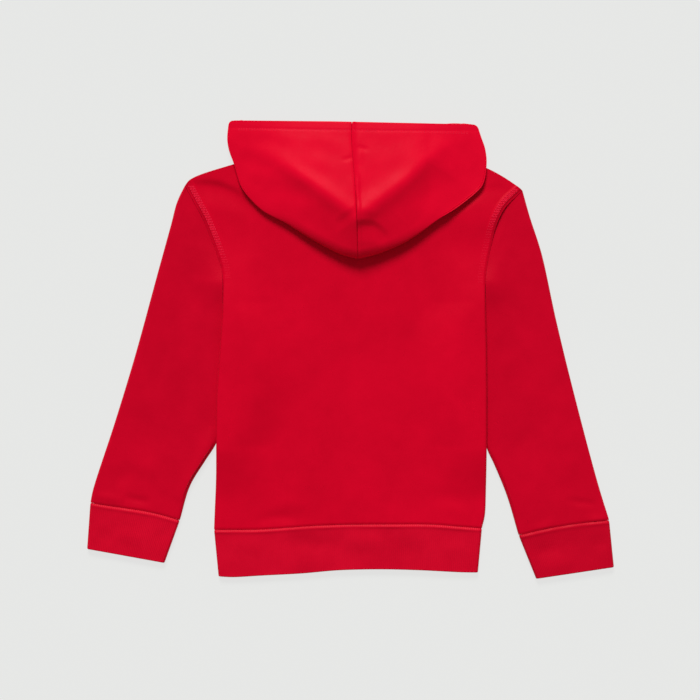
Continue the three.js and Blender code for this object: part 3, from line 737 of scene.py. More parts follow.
OUTLINE_SHARES = np.linspace(0.0, 1.0, 71)
hood_fold = {side: Curve(HOOD_FOLD[side]) for side in SIDES}
hood_outline = {side: hood_fold[side](OUTLINE_SHARES) for side in SIDES}


def distance_to_fold(x, y):
    left, right = (line_distance(hood_outline[side], x, y)[0] for side in SIDES)
    return np.minimum(left, right)


def under_hood(x, y):
    """True where the hood lies on the cloth below."""
    corners = np.vstack([hood_outline["left"], hood_outline["right"][::-1]])[:, :2]
    inside = np.zeros(np.shape(x), dtype=bool)
    for (x0, y0), (x1, y1) in zip(corners, np.roll(corners, -1, axis=0)):
        crosses = (y0 > y) != (y1 > y)
        if y1 != y0:
            inside ^= crosses & (x < x0 + (y - y0) * (x1 - x0) / (y1 - y0))
    return inside


def back_relief(x, y):
    relief = soft_folds("back_panel", x, y) + creases("back_panel", x, y) + steps("back_panel", x, y)
    relief += undulation(x, y, *UNEVENNESS["back_panel"])
    for side in SIDES:
        relief += pucker(f"armhole_{side}", armhole_line[side], x, y)
    relief += pucker("hem", hem_line, x, y)
    beside = 1 - smooth(0.0, 8.0, distance_to_fold(x, y))
    covered = np.where(under_hood(x, y), 1.0, beside)
    return np.where(relief > 0, relief * (1 - covered), relief * (1 - 0.5 * covered))


def back_seams(x, y):
    """What the seams add to the outer face of the back."""
    seams = np.zeros(np.shape(x))
    for side in SIDES:
        apart, _ = line_distance(armhole_line[side], x, y)
        seams += bump_between(apart, ARMHOLE_BAND) * smooth(*ARMHOLE_BAND_FADE[side], y)
        seams += seam_dip(apart, ARMHOLE_DIP) * armhole_share(y)
    apart, _ = line_distance(hem_line, x, y)
    return seams + RIB_DIP_SHARE * seam_dip(apart)


def no_relief(x, y):
    return np.zeros(np.shape(x))


def body_panel(neck, up, flat_rows, flat_columns, relief, seams):
    """Outer and inner grids of a body panel; up is 1 for the back and -1 for the front."""
    fold_radius = LAID_FLEECE / 2
    plan = patch(Curve(HEM_SEAM), top_edge(neck), side_of["left"], side_of["right"])
    side, share, angle = stations(flat_columns, FOLD_DEGREES)
    v = np.concatenate([flat_rows, np.full(len(FOLD_DEGREES), np.nan)])[:, None]
    line_angle = np.concatenate([np.full(len(flat_rows), math.pi / 2),
                                 np.radians(FOLD_DEGREES[::-1])])[:, None]
    flat_row = ~np.isnan(v)

    def past(edge_share, u):
        return smooth(edge_share - FOLD_FADE, edge_share + FOLD_FADE, u)

    def grid(radius):
        def row_of(held):
            inset = fold_radius - mix(fold_radius, radius, held) * np.cos(line_angle)
            return np.where(flat_row, v, 1 - inset / BODY_LENGTH)

        plain_row = row_of(0.0)
        side_held = 1 - past(UNDERARM_SHARE, plain_row)
        left_edge = plan(0.0, plain_row)
        right_edge = plan(1.0, plain_row)
        length = np.linalg.norm(right_edge - left_edge, axis=-1)
        u = along_row(side, share, angle, length, fold_radius, radius, side_held) / length
        shoulder_held = 1 - past(LEFT_NECK_SHARE, u) * (1 - past(RIGHT_NECK_SHARE, u))
        point = plan(u, row_of(shoulder_held))
        point[..., 1] -= np.where(line_angle == 0, SEAM_GAP / 2 * (1 - shoulder_held), 0.0)
        fullness = mix(1.0, np.sin(angle), side_held) * mix(1.0, np.sin(line_angle), shoulder_held)
        x, y = point[..., 0], point[..., 1]
        lift = tuck_lift(x, y, left_edge[..., 0], right_edge[..., 0])
        raised = relief(x, y)
        if radius == fold_radius:
            raised = raised + seams(x, y)
        thick = SEAM_GAP / 2 + (radius - SEAM_GAP / 2) * fullness
        point[..., 2] = fold_radius + up * thick + lift + raised * fullness ** 2
        return point

    return grid(fold_radius), grid(fold_radius - FLEECE)


def graded(edge_steps, length, middle_step):
    """Shares along a length with given fine steps at both ends."""
    near = np.concatenate([[0.0], np.cumsum(edge_steps)])
    count = max(int(round((length - 2 * near[-1]) / middle_step)), 1)
    middle = np.linspace(near[-1], length - near[-1], count + 1)[1:-1]
    return np.concatenate([near, middle, (length - near)[::-1]]) / length


PANEL_WIDTH = 330
PANEL_LENGTH = 396
back_grids = body_panel(NECK_EDGE["back"], 1, graded([0.8] * 4, PANEL_LENGTH, 2.7),
                        graded([0.8] * 10, PANEL_WIDTH, 2.7), back_relief, back_seams)
back_cloth = finish_mesh(wall_piece("back_panel_cloth", *back_grids, knit["fleece_body"]))
front_grids = body_panel(NECK_EDGE["front"], -1, graded([1.5] * 2, PANEL_LENGTH, 5.5),
                         graded([1.5] * 2, PANEL_WIDTH, 5.5), no_relief, no_relief)
front_cloth = finish_mesh(wall_piece("front_panel_cloth", *front_grids, knit["fleece_body"]))


# Flattened tubes

def flat_tube(row, row_shares, flat_shares, fold_degrees, height, thickness, outer_change, relief,
              edge_profile=None, lift=None):
    """Outer and inner grids of a laid tube; rows give the plan from its left fold to its right fold."""
    fold_radius = height / 2
    side, share, angle = stations(flat_shares, fold_degrees)
    over = (side, share, angle, np.ones(len(side)))
    under = tuple(part[1:-1][::-1] for part in (side, share, angle)) + (-np.ones(len(side) - 2),)
    side, share, angle, up = (np.concatenate(pair) for pair in zip(over, under))
    v = np.asarray(row_shares)[:, None]
    length = np.linalg.norm(row(1.0, v) - row(0.0, v), axis=-1)
    column = np.arange(len(side))[None, :]
    shrink = 0.0 if edge_profile is None else edge_profile(v)

    def grid(radius):
        plain = along_row(side, share, angle, length, fold_radius, radius, 1.0) / length
        spot = row(plain, v)
        x, y = spot[..., 0], spot[..., 1]
        outside = radius == fold_radius
        changed = radius + (outer_change(column, v, up, angle, x, y) if outside else 0.0)
        changed = changed - shrink * (1 if outside else -1) * thickness / 2
        u = along_row(side, share, angle, length, fold_radius, changed, 1.0) / length
        point = row(u, v)
        raised = np.where((up > 0) & (side == 0), relief(x, y), 0.0)
        point[..., 2] = fold_radius + up * changed * np.sin(angle) + raised
        if lift is not None:
            point[..., 2] += lift(point[..., 0], point[..., 1])
        return point

    return grid(fold_radius), grid(fold_radius - thickness)


# How far each cuff seam bows up towards the shoulder: shares across the sleeve, rise
ARCH_SHARES = np.linspace(0.0, 1.0, 41)
CUFF_ARCH = {
    "left": (ARCH_SHARES, 2.6 * np.sin(math.pi * ARCH_SHARES ** 1.6)),
    "right": (ARCH_SHARES, 2.4 * np.sin(math.pi * ARCH_SHARES)),
}
CUFF_ARCH_REACH = 0.12


def sleeve_row(side):
    edges = [Curve(SLEEVE_EDGE[side][name]) for name in ("outer", "inner")]
    left, right = edges if side == "left" else edges[::-1]

    def row(u, v):
        u, v = spread(u, v)
        point = mix(left(v), right(v), u[..., None])
        arch = np.interp(u, *CUFF_ARCH[side])
        point[..., 1] += arch * (1 - smooth(0.0, CUFF_ARCH_REACH, v))
        return point
    return row


SLEEVE_LENGTH = 400
SLEEVE_WIDTH = 122


def sleeve(side):
    name = f"sleeve_{side}"
    row = sleeve_row(side)
    cuff_seam = row(np.linspace(0.0, 1.0, 40), 0.0)
    side_line = side_of[side](np.linspace(0, 1, 90))
    body_edge = side_of[side](np.linspace(0.0, UNDERARM_SHARE, 60))

    def relief(x, y):
        raised = soft_folds(name, x, y) + creases(name, x, y) + undulation(x, y, *UNEVENNESS[name])
        raised += pucker(f"cuff_{side}", cuff_seam, x, y)
        armhole, _ = line_distance(armhole_line[side], x, y)
        hollow = ARMHOLE_HOLLOW["depth"] * np.exp(-(armhole / ARMHOLE_HOLLOW["width"]) ** 2)
        begun = smooth(ARMHOLE_HOLLOW["low_y"], ARMHOLE_HOLLOW["high_y"], y)
        raised -= hollow * armhole_share(y) * begun
        edge_x = np.interp(y, side_line[:, 1], side_line[:, 0])
        from_body, _ = line_distance(body_edge, x, y)
        beside = 1 - smooth(0.0, TUCK["cover_fade"], from_body)
        covered = np.where(OUTWARD[side] * (x - edge_x) > 0, beside, 1.0)
        covered = np.where(y > TUCK["cover_top"], 0.0, covered)
        return np.where(raised > 0, raised * (1 - covered), raised)

    def outer_change(column, v, up, angle, x, y):
        seam, _ = line_distance(cuff_seam, x, y)
        dip = RIB_DIP_SHARE * seam_dip(seam)
        return np.where(np.sin(angle) > 0.7, dip, dip * 0.4)

    grids = flat_tube(row, graded([1.0] * 3, SLEEVE_LENGTH, 2.9), graded([2.0], SLEEVE_WIDTH, 2.9),
                      FOLD_DEGREES, LAID_FLEECE, FLEECE, outer_change, relief,
                      lift=lambda x, y: sleeve_lift(side, x, y))
    piece = wall_piece(f"{name}_cloth", *grids, knit[f"fleece_{name}"], closed_round=True)
    cut_armhole(piece, side)
    return finish_mesh(piece)


# Where the cut along the armhole starts on the body's side, and how far it runs past the shoulder
CUT_SHARES = np.linspace(0.62, 1.0, 62)
CUT_STEP = 0.01
CUT_PAST_SHOULDER = (8, 40)


def cut_armhole(piece, side):
    """Cut the sleeve off along the armhole, just clear of the panels."""
    outward = OUTWARD[side]
    here = side_of[side](CUT_SHARES)
    ahead = side_of[side](np.minimum(CUT_SHARES + CUT_STEP, 1.0))
    tangent = ahead - side_of[side](CUT_SHARES - CUT_STEP)
    tangent /= np.linalg.norm(tangent, axis=1)[:, None]
    edge = np.stack([here[:, 0] + outward * SEAM_GAP * tangent[:, 1],
                     here[:, 1] - outward * SEAM_GAP * tangent[:, 0]], axis=1)
    inset, beyond = CUT_PAST_SHOULDER
    shoulder_x, shoulder_y, _ = here[-1]
    corners = np.vstack([[0.0, here[0, 1]], edge, [shoulder_x - outward * inset, shoulder_y + beyond],
                         [0.0, shoulder_y + beyond]])
    count = len(corners)
    vertices = np.vstack([np.column_stack([corners, np.full(count, -LAID_FLEECE)]),
                          np.column_stack([corners, np.full(count, 3 * LAID_FLEECE)])])
    faces = [list(range(count)), list(range(2 * count - 1, count - 1, -1))]
    for k in range(count):
        after = (k + 1) % count
        faces.append([k, count + k, count + after, after])
    cutter = new_object("armhole_cutter", vertices, faces, knit["fleece_body"])
    turn_outward(cutter.data, cut_to_triangles=True)
    turn_outward(piece.data)
    cut = piece.modifiers.new("armhole", "BOOLEAN")
    cut.operation = "DIFFERENCE"
    cut.solver = "MANIFOLD"
    cut.object = cutter
    whole = piece.data
    depsgraph = bpy.context.evaluated_depsgraph_get()
    piece.data = bpy.data.meshes.new_from_object(piece.evaluated_get(depsgraph))
    piece.modifiers.remove(cut)
    bpy.data.meshes.remove(whole)
    bpy.data.objects.remove(cutter)


sleeves = {side: sleeve(side) for side in SIDES}

# Ribbed bands

# Steps of a wale across the rib, depth of the furrows, and how they fade at the edge and the ridge
RIB_STEPS = 4
RIB_DEPTH = 0.42
RIB_FADE = {"from": 0.2, "to": 1.6, "at_ridge": 0.35, "ridge_width": 2.2}
RIDGE = {"at": 2.9, "width": 1.5, "height": 0.42}
RIB_EDGE = {"reach": 1.2, "depth": 0.75}
RIB_LOW_ROWS = np.array([0.0, 0.25, 0.6, 1.1, 1.9, 3.5])
RIB_HIGH_ROWS = np.array([7.0, 5.2, 4.3, 3.6, 2.9, 2.2, 1.6, 1.0, 0.5, 0.0])


def rounded_edge(distance, reach):
    """1 at an edge that is turned over, 0 past the reach of its rounding."""
    turned = np.clip(distance / reach, 0.0, 1.0)
    return 1 - np.sqrt(1 - (1 - turned) ** 2)


def rib_band(name, row, seam_length, band_length, pitch, material):
    """A laid tube of 1x1 rib with a ridge along its seam and a turned lower edge."""
    fold_radius = LAID_RIB / 2
    fold_count = int(round(fold_radius * math.pi / 2 / (pitch / RIB_STEPS)))
    flat_count = int(round((seam_length - LAID_RIB) / (pitch / RIB_STEPS)))
    total = 2 * (flat_count + 1 + 2 * fold_count) - 2
    flat_count += (-(total // 2)) % RIB_STEPS
    fold_degrees = np.linspace(0.0, 90.0, fold_count + 1)[:-1]
    flat_shares = np.linspace(0.0, 1.0, flat_count + 1)
    low = RIB_LOW_ROWS / band_length
    high = 1 - RIB_HIGH_ROWS / band_length
    rows = np.concatenate([low, np.linspace(low[-1], high[0], 9)[1:-1], high])

    def outer_change(column, v, up, angle, x, y):
        phase = (column % RIB_STEPS) / RIB_STEPS
        wale = 0.5 + 0.5 * np.cos(2 * math.pi * phase)
        from_seam = (1 - v) * band_length
        from_edge = v * band_length
        at_ridge = np.exp(-((from_seam - RIDGE["at"]) / RIB_FADE["ridge_width"]) ** 2)
        fade = smooth(RIB_FADE["from"], RIB_FADE["to"], from_edge) * mix(1.0, RIB_FADE["at_ridge"], at_ridge)
        ribs = -RIB_DEPTH * (1 - wale) * fade
        crown = RIDGE["height"] + undulation(x, y, *RIDGE_UNEVENNESS[name])
        ridge = np.where(up > 0, crown, 0.0) * np.sin(angle)
        ridge = ridge * np.exp(-((from_seam - RIDGE["at"]) / RIDGE["width"]) ** 2)
        return ribs + ridge + RIB_DIP_SHARE * seam_dip(from_seam)

    def relief(x, y):
        return creases(name, x, y) + undulation(x, y, *UNEVENNESS[name])

    def edge_profile(v):
        return RIB_EDGE["depth"] * rounded_edge(v * band_length, RIB_EDGE["reach"])

    grids = flat_tube(row, rows, flat_shares, fold_degrees, LAID_RIB, RIB, outer_change, relief,
                      edge_profile)
    return finish_mesh(wall_piece(f"{name}_rib", *grids, material, closed_round=True), 70)


def cuff(side):
    seam = sleeve_row(side)
    names = ("outer", "inner") if side == "left" else ("inner", "outer")
    low_left, low_right = (np.array((*CUFF_EDGE[side][name], 0.0)) for name in names)

    def row(u, v):
        u, v = spread(u, v)
        bottom = mix(low_left, low_right, u[..., None])
        top = seam(u, np.zeros(u.shape))
        gap = SEAM_GAP / np.linalg.norm(top - bottom, axis=-1)
        return mix(bottom, top, (v * (1 - gap))[..., None])

    return rib_band(f"cuff_{side}", row, 97, 48, 2.1, knit[f"rib_cuff_{side}"])


def hem_row(u, v):
    u, v = spread(u, v)
    return mix(hem_low(u), hem_top(u), v[..., None])


hem_top = Curve([(x, y - SEAM_GAP) for x, y in HEM_SEAM])
hem_low = Curve(HEM_EDGE)
cuffs = {side: cuff(side) for side in SIDES}
hem_cloth = rib_band("hem_band", hem_row, 295, 50, 2.2, knit["rib_hem"])

# Hood

WING_FALL = (0.5, 13.0)
NECK_FALL = (0.42, 0.82)
ROUND_SHARE = 0.55

body_top = top_edge(NECK_EDGE["back"])(np.linspace(0.0, 1.0, 61))
hood_seam_line = Curve(HOOD_SEAM).points
crest_line = Curve(HOOD_CREST).points


def under_rise(distance, reach):
    share = np.minimum(distance / reach, 1.0)
    return mix(share, np.sqrt(1 - (1 - share) ** 2), ROUND_SHARE)


def flatten_out(share, blend):
    """Climbs evenly to 1 and stays there, rounded over blend on either side."""
    past = np.clip(share - 1 + blend, 0.0, 2 * blend)
    return np.minimum(share, 1 + blend) - past ** 2 / (4 * blend)


def top_rise(distance, reach):
    """A tight roll at the fold, then an even climb to the crest."""
    edge = np.minimum(distance / HOOD["edge_roll"], 1.0)
    rolled = np.sqrt(1 - (1 - edge) ** 2)
    return mix(flatten_out(distance / reach, HOOD["crest_round"]), rolled, HOOD["edge_share"])


def hood_top_height(x, y, fold_height):
    outward = np.minimum(np.abs(x - HOOD["middle"]) / HOOD["half_width"], 1.0)
    crest_y = np.interp(x, crest_line[:, 0], crest_line[:, 1])
    rim = mix(HOOD["rim_height"], HOOD["rim_height_at_corner"], outward)
    climb = HOOD["climb"] * (1 - HOOD["climb_lost"] * smooth(*HOOD["climb_fade"], outward))
    crest = rim + climb * (HOOD["rim_y"] - crest_y)
    share = np.clip((HOOD["rim_y"] - y) / (HOOD["rim_y"] - crest_y), 0.0, 2.0)
    roof = mix(rim, crest, flatten_out(share, HOOD["crest_round"]))
    reach = np.maximum(distance_to_fold(x, crest_y), HOOD["least_roll"])
    return fold_height + (roof - fold_height) * top_rise(distance_to_fold(x, y), reach)


def hood_under_height(x, y, fold_height, row, share, neck_height):
    beyond = smooth(*WING_FALL, y - np.interp(x, body_top[:, 0], body_top[:, 1]))
    below = mix(OVER_BACK, HOOD["wing_height"], beyond)
    at_neck = mix(below, neck_height, smooth(*NECK_FALL, share))
    below = np.where(row < HOOD["shoulder_share"], at_neck, below)
    return fold_height - (fold_height - below) * under_rise(distance_to_fold(x, y), HOOD["under_roll"])


# Columns over and under the hood, which crowd towards the fold, and rows, which crowd by the rim
TOP_COLUMNS = 72
UNDER_COLUMNS = 36
TOP_CROWDING = 1.25
UNDER_CROWDING = 1.5
HOOD_ROWS = np.concatenate([
    np.array([0.0, 0.3, 0.7, 1.2, 1.9, 2.8, 4.0, 5.4, 6.8, 8.0, 8.8, 9.5, 10.2, 10.9, 11.8, 13.0]) / 185,
    np.linspace(15.0 / 185, 1.0, 104),
])[:, None]
HOOD_RELIEF_FADE = {"fold": (2.0, 16.0), "rim": (4.0, 20.0)}
HOOD_RIM_EDGE = {"reach": 1.5, "depth": 0.7}
HOOD_HEM_GROOVE = {"at": 9.8, "width": 1.3, "depth": 0.22}


def hood_half(side):
    name = f"hood_{side}"
    outward = OUTWARD[side]

    def about_middle(row):
        x, y, *rest = row
        return (HOOD["middle"] + outward * (HOOD["middle"] - x), y, *rest)

    clear = np.array([outward * SEAM_GAP / 2, 0.0, 0.0])
    seam_curve = Curve(HOOD_SEAM)
    seam_length = HOOD["rim_y"] - HOOD_SEAM[-1][1]
    fold_length = lengths_along(hood_fold[side].points)[0].sum()
    neck = joined((Curve([about_middle(row) for row in HOOD_NECK_FRONT]), HOOD["shoulder_share"]),
                  (Curve([about_middle(row) for row in HOOD_NECK_BACK]), 1.0))

    def seam(share):
        return seam_curve(share * (1 - HOOD["last_row_before_tip"] / seam_length)) + clear

    def fold(share):
        share = np.asarray(share, dtype=float)
        point = hood_fold[side](share) + smooth(0.9, 1.0, share)[..., None] * clear
        radius = HOOD["corner_radius"]
        past = np.clip(1 - share * fold_length / radius, 0.0, 1.0)
        point[..., 0] -= outward * radius * (1 - np.sqrt(1 - past ** 2))
        return point

    def flat_neck(share):
        return neck(share) * np.array([1.0, 1.0, 0.0])

    lower_rim = Curve([fold(0.0), *[about_middle(row) for row in HOOD_LOWER_RIM], flat_neck(0.0)])
    tip = fold(1.0)
    nape = flat_neck(1.0)
    under = patch(lower_rim, lambda share: mix(tip, nape, np.asarray(share)[..., None]), fold, flat_neck)

    rows = HOOD_ROWS
    fold_height = np.interp(rows, FOLD_SHARES, FOLD_HEIGHTS[side])
    toward_seam = (1 - np.arange(TOP_COLUMNS)[None, :] / TOP_COLUMNS) ** TOP_CROWDING
    top = mix(fold(rows), seam(rows), toward_seam[..., None])
    top[..., 2] = hood_top_height(top[..., 0], top[..., 1], fold_height)
    edge = fold(rows)
    edge[..., 2] = fold_height
    share = (np.arange(1, UNDER_COLUMNS + 1)[None, :] / UNDER_COLUMNS) ** UNDER_CROWDING
    below = under(*np.broadcast_arrays(share, rows))
    below[..., 2] = hood_under_height(below[..., 0], below[..., 1], fold_height, rows, share,
                                      neck(rows)[..., 2])
    outer = np.concatenate([top, edge, below], axis=1)

    on_top = np.zeros(outer.shape[:2])
    on_top[:, :TOP_COLUMNS] = 1.0
    x, y = outer[..., 0], outer[..., 1]
    from_rim = np.linalg.norm(outer - outer[:1], axis=-1)
    from_rim_line = np.minimum(from_rim, np.abs(HOOD["rim_y"] - y) + np.where(on_top > 0, 0.0, 99.0))
    relief = creases(name, x, y) + steps(name, x, y) + undulation(x, y, *UNEVENNESS[name])
    fade = smooth(*HOOD_RELIEF_FADE["fold"], distance_to_fold(x, y))
    outer[..., 2] += relief * (fade * smooth(*HOOD_RELIEF_FADE["rim"], from_rim_line) * on_top)

    normal = np.cross(np.gradient(outer, axis=0), np.gradient(outer, axis=1))
    normal[:, 0, 0] = 0.0
    normal[-1, :, 0] = 0.0
    normal /= np.linalg.norm(normal, axis=-1)[..., None]
    if normal[len(rows) // 2, TOP_COLUMNS // 3, 2] < 0:
        normal = -normal

    hem = np.where(on_top > 0, HOOD_HEM, FLEECE)
    past_hem = smooth(HOOD["hem_width"] - 1, HOOD["hem_width"] + 3, from_rim)
    thickness = mix(hem, FLEECE, past_hem)
    shrink = HOOD_RIM_EDGE["depth"] * thickness * rounded_edge(from_rim, HOOD_RIM_EDGE["reach"])
    from_seam, _ = line_distance(hood_seam_line, x, y)
    seams = HOOD_DIP["share"] * seam_dip(from_seam * HOOD_DIP["narrowing"])
    if side == "right":
        upper = smooth(HOOD_SEAM_BAND["low_end"] - HOOD_SEAM_BAND["fade"], HOOD_SEAM_BAND["low_end"], y)
        seams += bump_between(from_seam, HOOD_SEAM_BAND) * mix(HOOD_SEAM_BAND["low_share"], 1.0, upper)
    groove = np.exp(-((from_rim - HOOD_HEM_GROOVE["at"]) / HOOD_HEM_GROOVE["width"]) ** 2)
    seams -= HOOD_HEM_GROOVE["depth"] * groove
    seams *= on_top
    outside = outer + normal * (seams - shrink / 2)[..., None]
    inside = outer - normal * (thickness - shrink / 2)[..., None]
    return finish_mesh(wall_piece(f"{name}_cloth", outside, inside, knit[f"fleece_{name}"]))


hoods = {side: hood_half(side) for side in SIDES}

# Stitches, joined into one mesh for each seam

STITCH = {"length": 2.7, "width": 1.05, "height": 0.55, "pitch": 2.95, "from_end": 1.6, "shift": 0.5,
          "swing": 0.35}
STITCH_SIZE = np.array([STITCH["length"], STITCH["width"], STITCH["height"]]) / 2
ARMHOLE_STITCH_ROWS = (3.4, 4.9, 6.4, 7.9)
ARMHOLE_STITCHED = np.linspace(0.02, 0.985, 60)
ARMHOLE_STITCH_LEAST = 0.4
HEM_STITCH_ROWS = (9.0, 10.6)
HEM_STITCH_SHARE = 0.6


def stitch_form(segments=6, rings=4):
    """A unit bead: vertices and triangles of a small long drop."""
    vertices = [(1.0, 0.0, 0.0)]
    for ring in range(1, rings):
        turn = math.pi * ring / rings
        for segment in range(segments):
            spin = 2 * math.pi * segment / segments
            round_it = math.sin(turn)
            vertices.append((math.cos(turn), round_it * math.cos(spin), round_it * math.sin(spin)))
    vertices.append((-1.0, 0.0, 0.0))
    faces = []
    for segment in range(segments):
        after = (segment + 1) % segments
        faces.append((0, 1 + segment, 1 + after))
        for ring in range(rings - 2):
            here = 1 + ring * segments
            faces.append((here + segment, here + segments + segment, here + segments + after))
            faces.append((here + segment, here + segments + after, here + after))
        low = 1 + (rings - 2) * segments
        faces.append((low + segment, len(vertices) - 1, low + after))
    return np.array(vertices), np.array(faces)


def surface_tree(piece):
    vertices = [vertex.co / MM for vertex in piece.data.vertices]
    faces = [tuple(face.vertices) for face in piece.data.polygons]
    return BVHTree.FromPolygons(vertices, faces)


def stitch_piece(name, lines, trees, from_above, size_share):
    """Stitches laid along lines of the plan, on the first surface met from above or below."""
    bead, bead_faces = stitch_form()
    source = np.random.default_rng(len(name))
    vertices = []
    faces = []
    start_z, way = (80.0, -1.0) if from_above else (-20.0, 1.0)
    for line in lines:
        line = np.asarray(line)[:, :2]
        _, reach = lengths_along(line)
        for place in np.arange(STITCH["from_end"], reach[-1] - STITCH["from_end"], STITCH["pitch"]):
            place = place + source.uniform(-STITCH["shift"], STITCH["shift"])
            x, y = (np.interp(place, reach, line[:, k]) for k in range(2))
            ahead_x, ahead_y = (np.interp(place + 1.0, reach, line[:, k]) for k in range(2))
            hits = [tree.ray_cast(Vector((x, y, start_z)), Vector((0, 0, way))) for tree in trees]
            hits = [hit for hit in hits if hit[0] is not None]
            if not hits:
                continue
            spot, facing, _, _ = max(hits, key=lambda hit: -way * hit[0].z)
            if facing.z * -way < 0:
                facing = -facing
            swing = source.uniform(-STITCH["swing"], STITCH["swing"])
            along = Vector((ahead_x - x - swing * (ahead_y - y), ahead_y - y + swing * (ahead_x - x), 0.0))
            along = (along - facing * along.dot(facing)).normalized()
            across = facing.cross(along)
            base = sum(len(part) for part in vertices)
            scaled = bead * STITCH_SIZE * size_share(y)
            vertices.append(np.outer(scaled[:, 0], along) + np.outer(scaled[:, 1], across)
                            + np.outer(scaled[:, 2], facing) + np.array(spot))
            faces.append(bead_faces + base)
    return finish_mesh(new_object(name, np.vstack(vertices), np.vstack(faces), thread), 80)


def offset_line(line, distance):
    """A line moved sideways in plan, to its left."""
    tangent = plan_tangent(line)
    return line[:, :2] + distance * np.stack([-tangent[:, 1], tangent[:, 0]], axis=1)


back_tree = surface_tree(back_cloth)
front_tree = surface_tree(front_cloth)
stitches = []
for side in SIDES:
    line = Curve(ARMHOLE[side])(ARMHOLE_STITCHED)
    rows_of_thread = [offset_line(line, OUTWARD[side] * distance) for distance in ARMHOLE_STITCH_ROWS]

    def sewn_in(y, fade=ARMHOLE_BAND_FADE[side]):
        return mix(ARMHOLE_STITCH_LEAST, 1.0, smooth(*fade, y))

    stitches += [
        stitch_piece(f"armhole_stitches_{side}", rows_of_thread, [back_tree], True, sewn_in),
        stitch_piece(f"armhole_front_stitches_{side}", rows_of_thread, [front_tree], False, lambda y: 1.0),
    ]

hood_trees = [surface_tree(hoods[side]) for side in SIDES]
rim_ends = [hood_fold[side](0.0)[:2] for side in SIDES]
rim_middle = np.array(HOOD_SEAM[0])
rim_line = np.vstack([np.linspace(rim_ends[0], rim_middle, 30), np.linspace(rim_middle, rim_ends[1], 30)[1:]])
rim_rows = [rim_line[2:-2] - np.array([0.0, distance]) for distance in HEM_STITCH_ROWS]
stitches.append(stitch_piece("hood_hem_stitches", rim_rows, hood_trees, True, lambda y: HEM_STITCH_SHARE))

# Seam allowances inside the garment, pressed flat behind each seam

# Shares of each seam that are backed, how the tape narrows at its ends, and its sizes and heights
ARMHOLE_BACKED = np.linspace(0.61, 0.9985, 111)
ARMHOLE_NARROWING = (0.97, 0.99)
CUFF_BACKED = np.linspace(0.05, 0.95, 40)
HEM_BACKED = np.linspace(0.002, 0.998, 140)
HEM_NARROWING = (0.012, 0.022)
HOOD_BACKED = np.linspace(0.012, 0.93, 90)
UNDERARM_END = (72.0, 86.0)
TAPE = {"half_width": 3.6, "half_height": 0.45, "end_share": 0.12, "columns": 7, "armhole_z": 3.5,
        "cuff_z": 3.4, "hem_z": 3.3}
UNDERARM_TAPE = {"half_width": 1.8, "half_height": 0.9, "armhole_z": 1.7}
HOOD_TAPE = {"half_width": 3.0, "half_height": 0.4, "below_hem": 0.7}


def seam_tape(name, line, half_width, half_height):
    """A strip along a line of points, across it in plan; sizes may change along the line."""
    tangent = plan_tangent(line)
    sideways = np.column_stack([-tangent[:, 1], tangent[:, 0], np.zeros(len(line))])
    across = np.linspace(-1.0, 1.0, TAPE["columns"])[None, :, None]
    width = np.broadcast_to(half_width, len(line))[:, None, None]
    height = np.broadcast_to(half_height, len(line))[:, None]
    middle = line[:, None, :] + across * width * sideways[:, None, :]
    crown = np.zeros(middle.shape)
    crown[..., 2] = height * np.sqrt(1.02 - across[..., 0] ** 2)
    return finish_mesh(wall_piece(name, middle + crown, middle - crown, knit["fleece_body"]), 80)


tapes = []
for side in SIDES:
    line = side_of[side](ARMHOLE_BACKED)
    above = smooth(*UNDERARM_END, line[:, 1])
    sleeve_rise = sleeve_lift(side, line[:, 0], line[:, 1])
    lift = mix((sleeve_rise + side_lift(line[:, 1])) / 2, sleeve_rise, above)
    line[:, 0] += OUTWARD[side] * SEAM_GAP / 2
    line[:, 2] = mix(UNDERARM_TAPE["armhole_z"], TAPE["armhole_z"], above) + lift
    narrowing = mix(TAPE["end_share"], 1.0, 1 - smooth(*ARMHOLE_NARROWING, ARMHOLE_BACKED))
    half_width = mix(UNDERARM_TAPE["half_width"], TAPE["half_width"], above) * narrowing
    half_height = mix(UNDERARM_TAPE["half_height"], TAPE["half_height"], above)
    tapes.append(seam_tape(f"armhole_allowance_{side}", line, half_width, half_height))
    line = sleeve_row(side)(CUFF_BACKED, 0.0)
    line[:, 2] = TAPE["cuff_z"]
    tapes.append(seam_tape(f"cuff_allowance_{side}", line, TAPE["half_width"], TAPE["half_height"]))
line = Curve(HEM_SEAM)(HEM_BACKED)
line[:, 2] = TAPE["hem_z"]
from_end = np.minimum(HEM_BACKED, 1 - HEM_BACKED)
narrowing = mix(TAPE["end_share"], 1.0, smooth(*HEM_NARROWING, from_end))
tapes.append(seam_tape("hem_allowance", line, TAPE["half_width"] * narrowing, TAPE["half_height"]))
line = Curve(HOOD_SEAM)(HOOD_BACKED)
fold_height = np.interp(HOOD_BACKED, FOLD_SHARES, FOLD_HEIGHTS["left"])
line[:, 2] = hood_top_height(line[:, 0], line[:, 1], fold_height) - HOOD_HEM - HOOD_TAPE["below_hem"]
tapes.append(seam_tape("hood_seam_allowance", line, HOOD_TAPE["half_width"], HOOD_TAPE["half_height"]))

# What each piece rides on and stands for

cloth = {
    "back_panel": (back_cloth, "red_fleece"),
    "front_panel": (front_cloth, "red_fleece"),
    "hem_band": (hem_cloth, "red_rib"),
}
for side in SIDES:
    cloth[f"sleeve_{side}"] = (sleeves[side], "red_fleece")
    cloth[f"cuff_{side}"] = (cuffs[side], "red_rib")
    cloth[f"hood_{side}"] = (hoods[side], "red_fleece")

for name, (piece, slot) in cloth.items():
    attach(piece, "root")
    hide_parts(name)
for piece in stitches + tapes:
    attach(piece, "root")

# Studio: pale luminous table, one soft key light from the top of the frame and an even fill

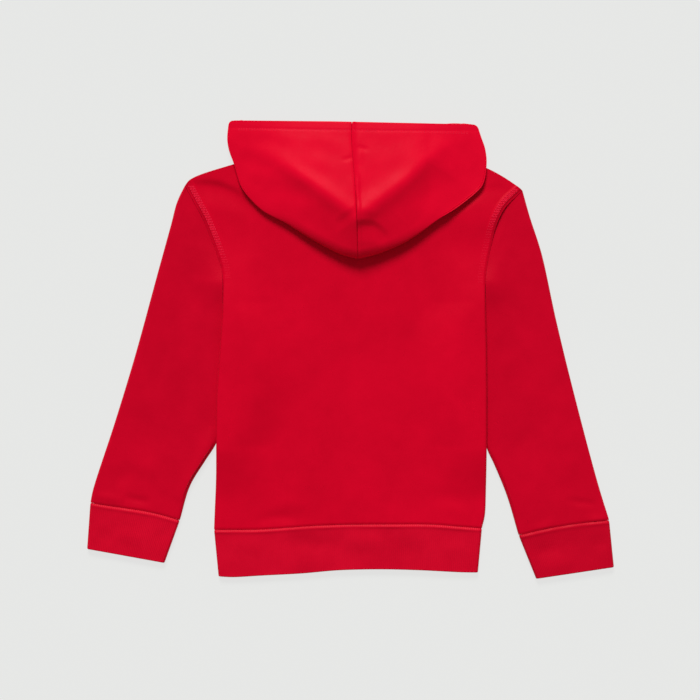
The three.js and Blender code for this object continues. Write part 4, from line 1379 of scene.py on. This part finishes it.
FLOOR_SHADES = ((0.068, 0.070, 0.069), (0.072, 0.074, 0.073))
FLOOR_HALF = 3000
FLOOR_Z = -0.3
FLOOR_GLOW = 0.732
KEY_STRENGTH = 3.32
KEY_DEGREES = 22
KEY_COLOUR = (1.0, 0.985, 0.965)
KEY_WAY = (0.12, -1.0, -0.84)
FILL_STRENGTH = 0.33
FILL_COLOUR = (1.0, 0.92, 0.82, 1.0)


def floor_material():
    material, tree, shader = new_material("studio_grey")
    speck = noise(tree, object_coordinates(tree), 3.0, 1.0)
    feed(tree, shader, {
        "Base Color": mix_colour(tree, speck, FLOOR_SHADES),
        "Roughness": 1.0,
        "Specular IOR Level": 0.0,
        "Emission Color": (0.99, 1.0, 0.99, 1.0),
        "Emission Strength": FLOOR_GLOW,
    })
    return material


corners = [(x * FLOOR_HALF, y * FLOOR_HALF, FLOOR_Z) for x, y in ((-1, -1), (1, -1), (1, 1), (-1, 1))]
floor = new_object("studio_floor", corners, [(0, 1, 2, 3)], floor_material())

key_data = bpy.data.lights.new("key_light", "SUN")
key_data.energy = KEY_STRENGTH
key_data.angle = math.radians(KEY_DEGREES)
key_data.color = KEY_COLOUR
key = bpy.data.objects.new("key_light", key_data)
bpy.context.scene.collection.objects.link(key)
key.rotation_euler = Vector(KEY_WAY).to_track_quat("-Z", "Y").to_euler()

world = bpy.data.worlds.new("studio_fill")
bpy.context.scene.world = world
world.use_nodes = True
background = world.node_tree.nodes["Background"]
background.inputs["Color"].default_value = FILL_COLOUR
background.inputs["Strength"].default_value = FILL_STRENGTH

# Camera straight above; the photograph's frame is 0.77 m across at the height of the cloth
FRAME_WIDTH = 0.770
CAMERA_HEIGHT = 4.0
CLOTH_HEIGHT = 0.006
SENSOR_WIDTH = 36.0
camera_data = bpy.data.cameras.new("camera")
camera_data.sensor_width = SENSOR_WIDTH
camera_data.lens = SENSOR_WIDTH * (CAMERA_HEIGHT - CLOTH_HEIGHT) / FRAME_WIDTH
camera_data.clip_end = 60.0
camera = bpy.data.objects.new("camera", camera_data)
camera.location = (-0.00055, -0.000275, CAMERA_HEIGHT)
camera.rotation_euler = (0.0, 0.0, 0.0)
bpy.context.scene.collection.objects.link(camera)
bpy.context.scene.camera = camera
bpy.context.scene.view_settings.view_transform = "Standard"
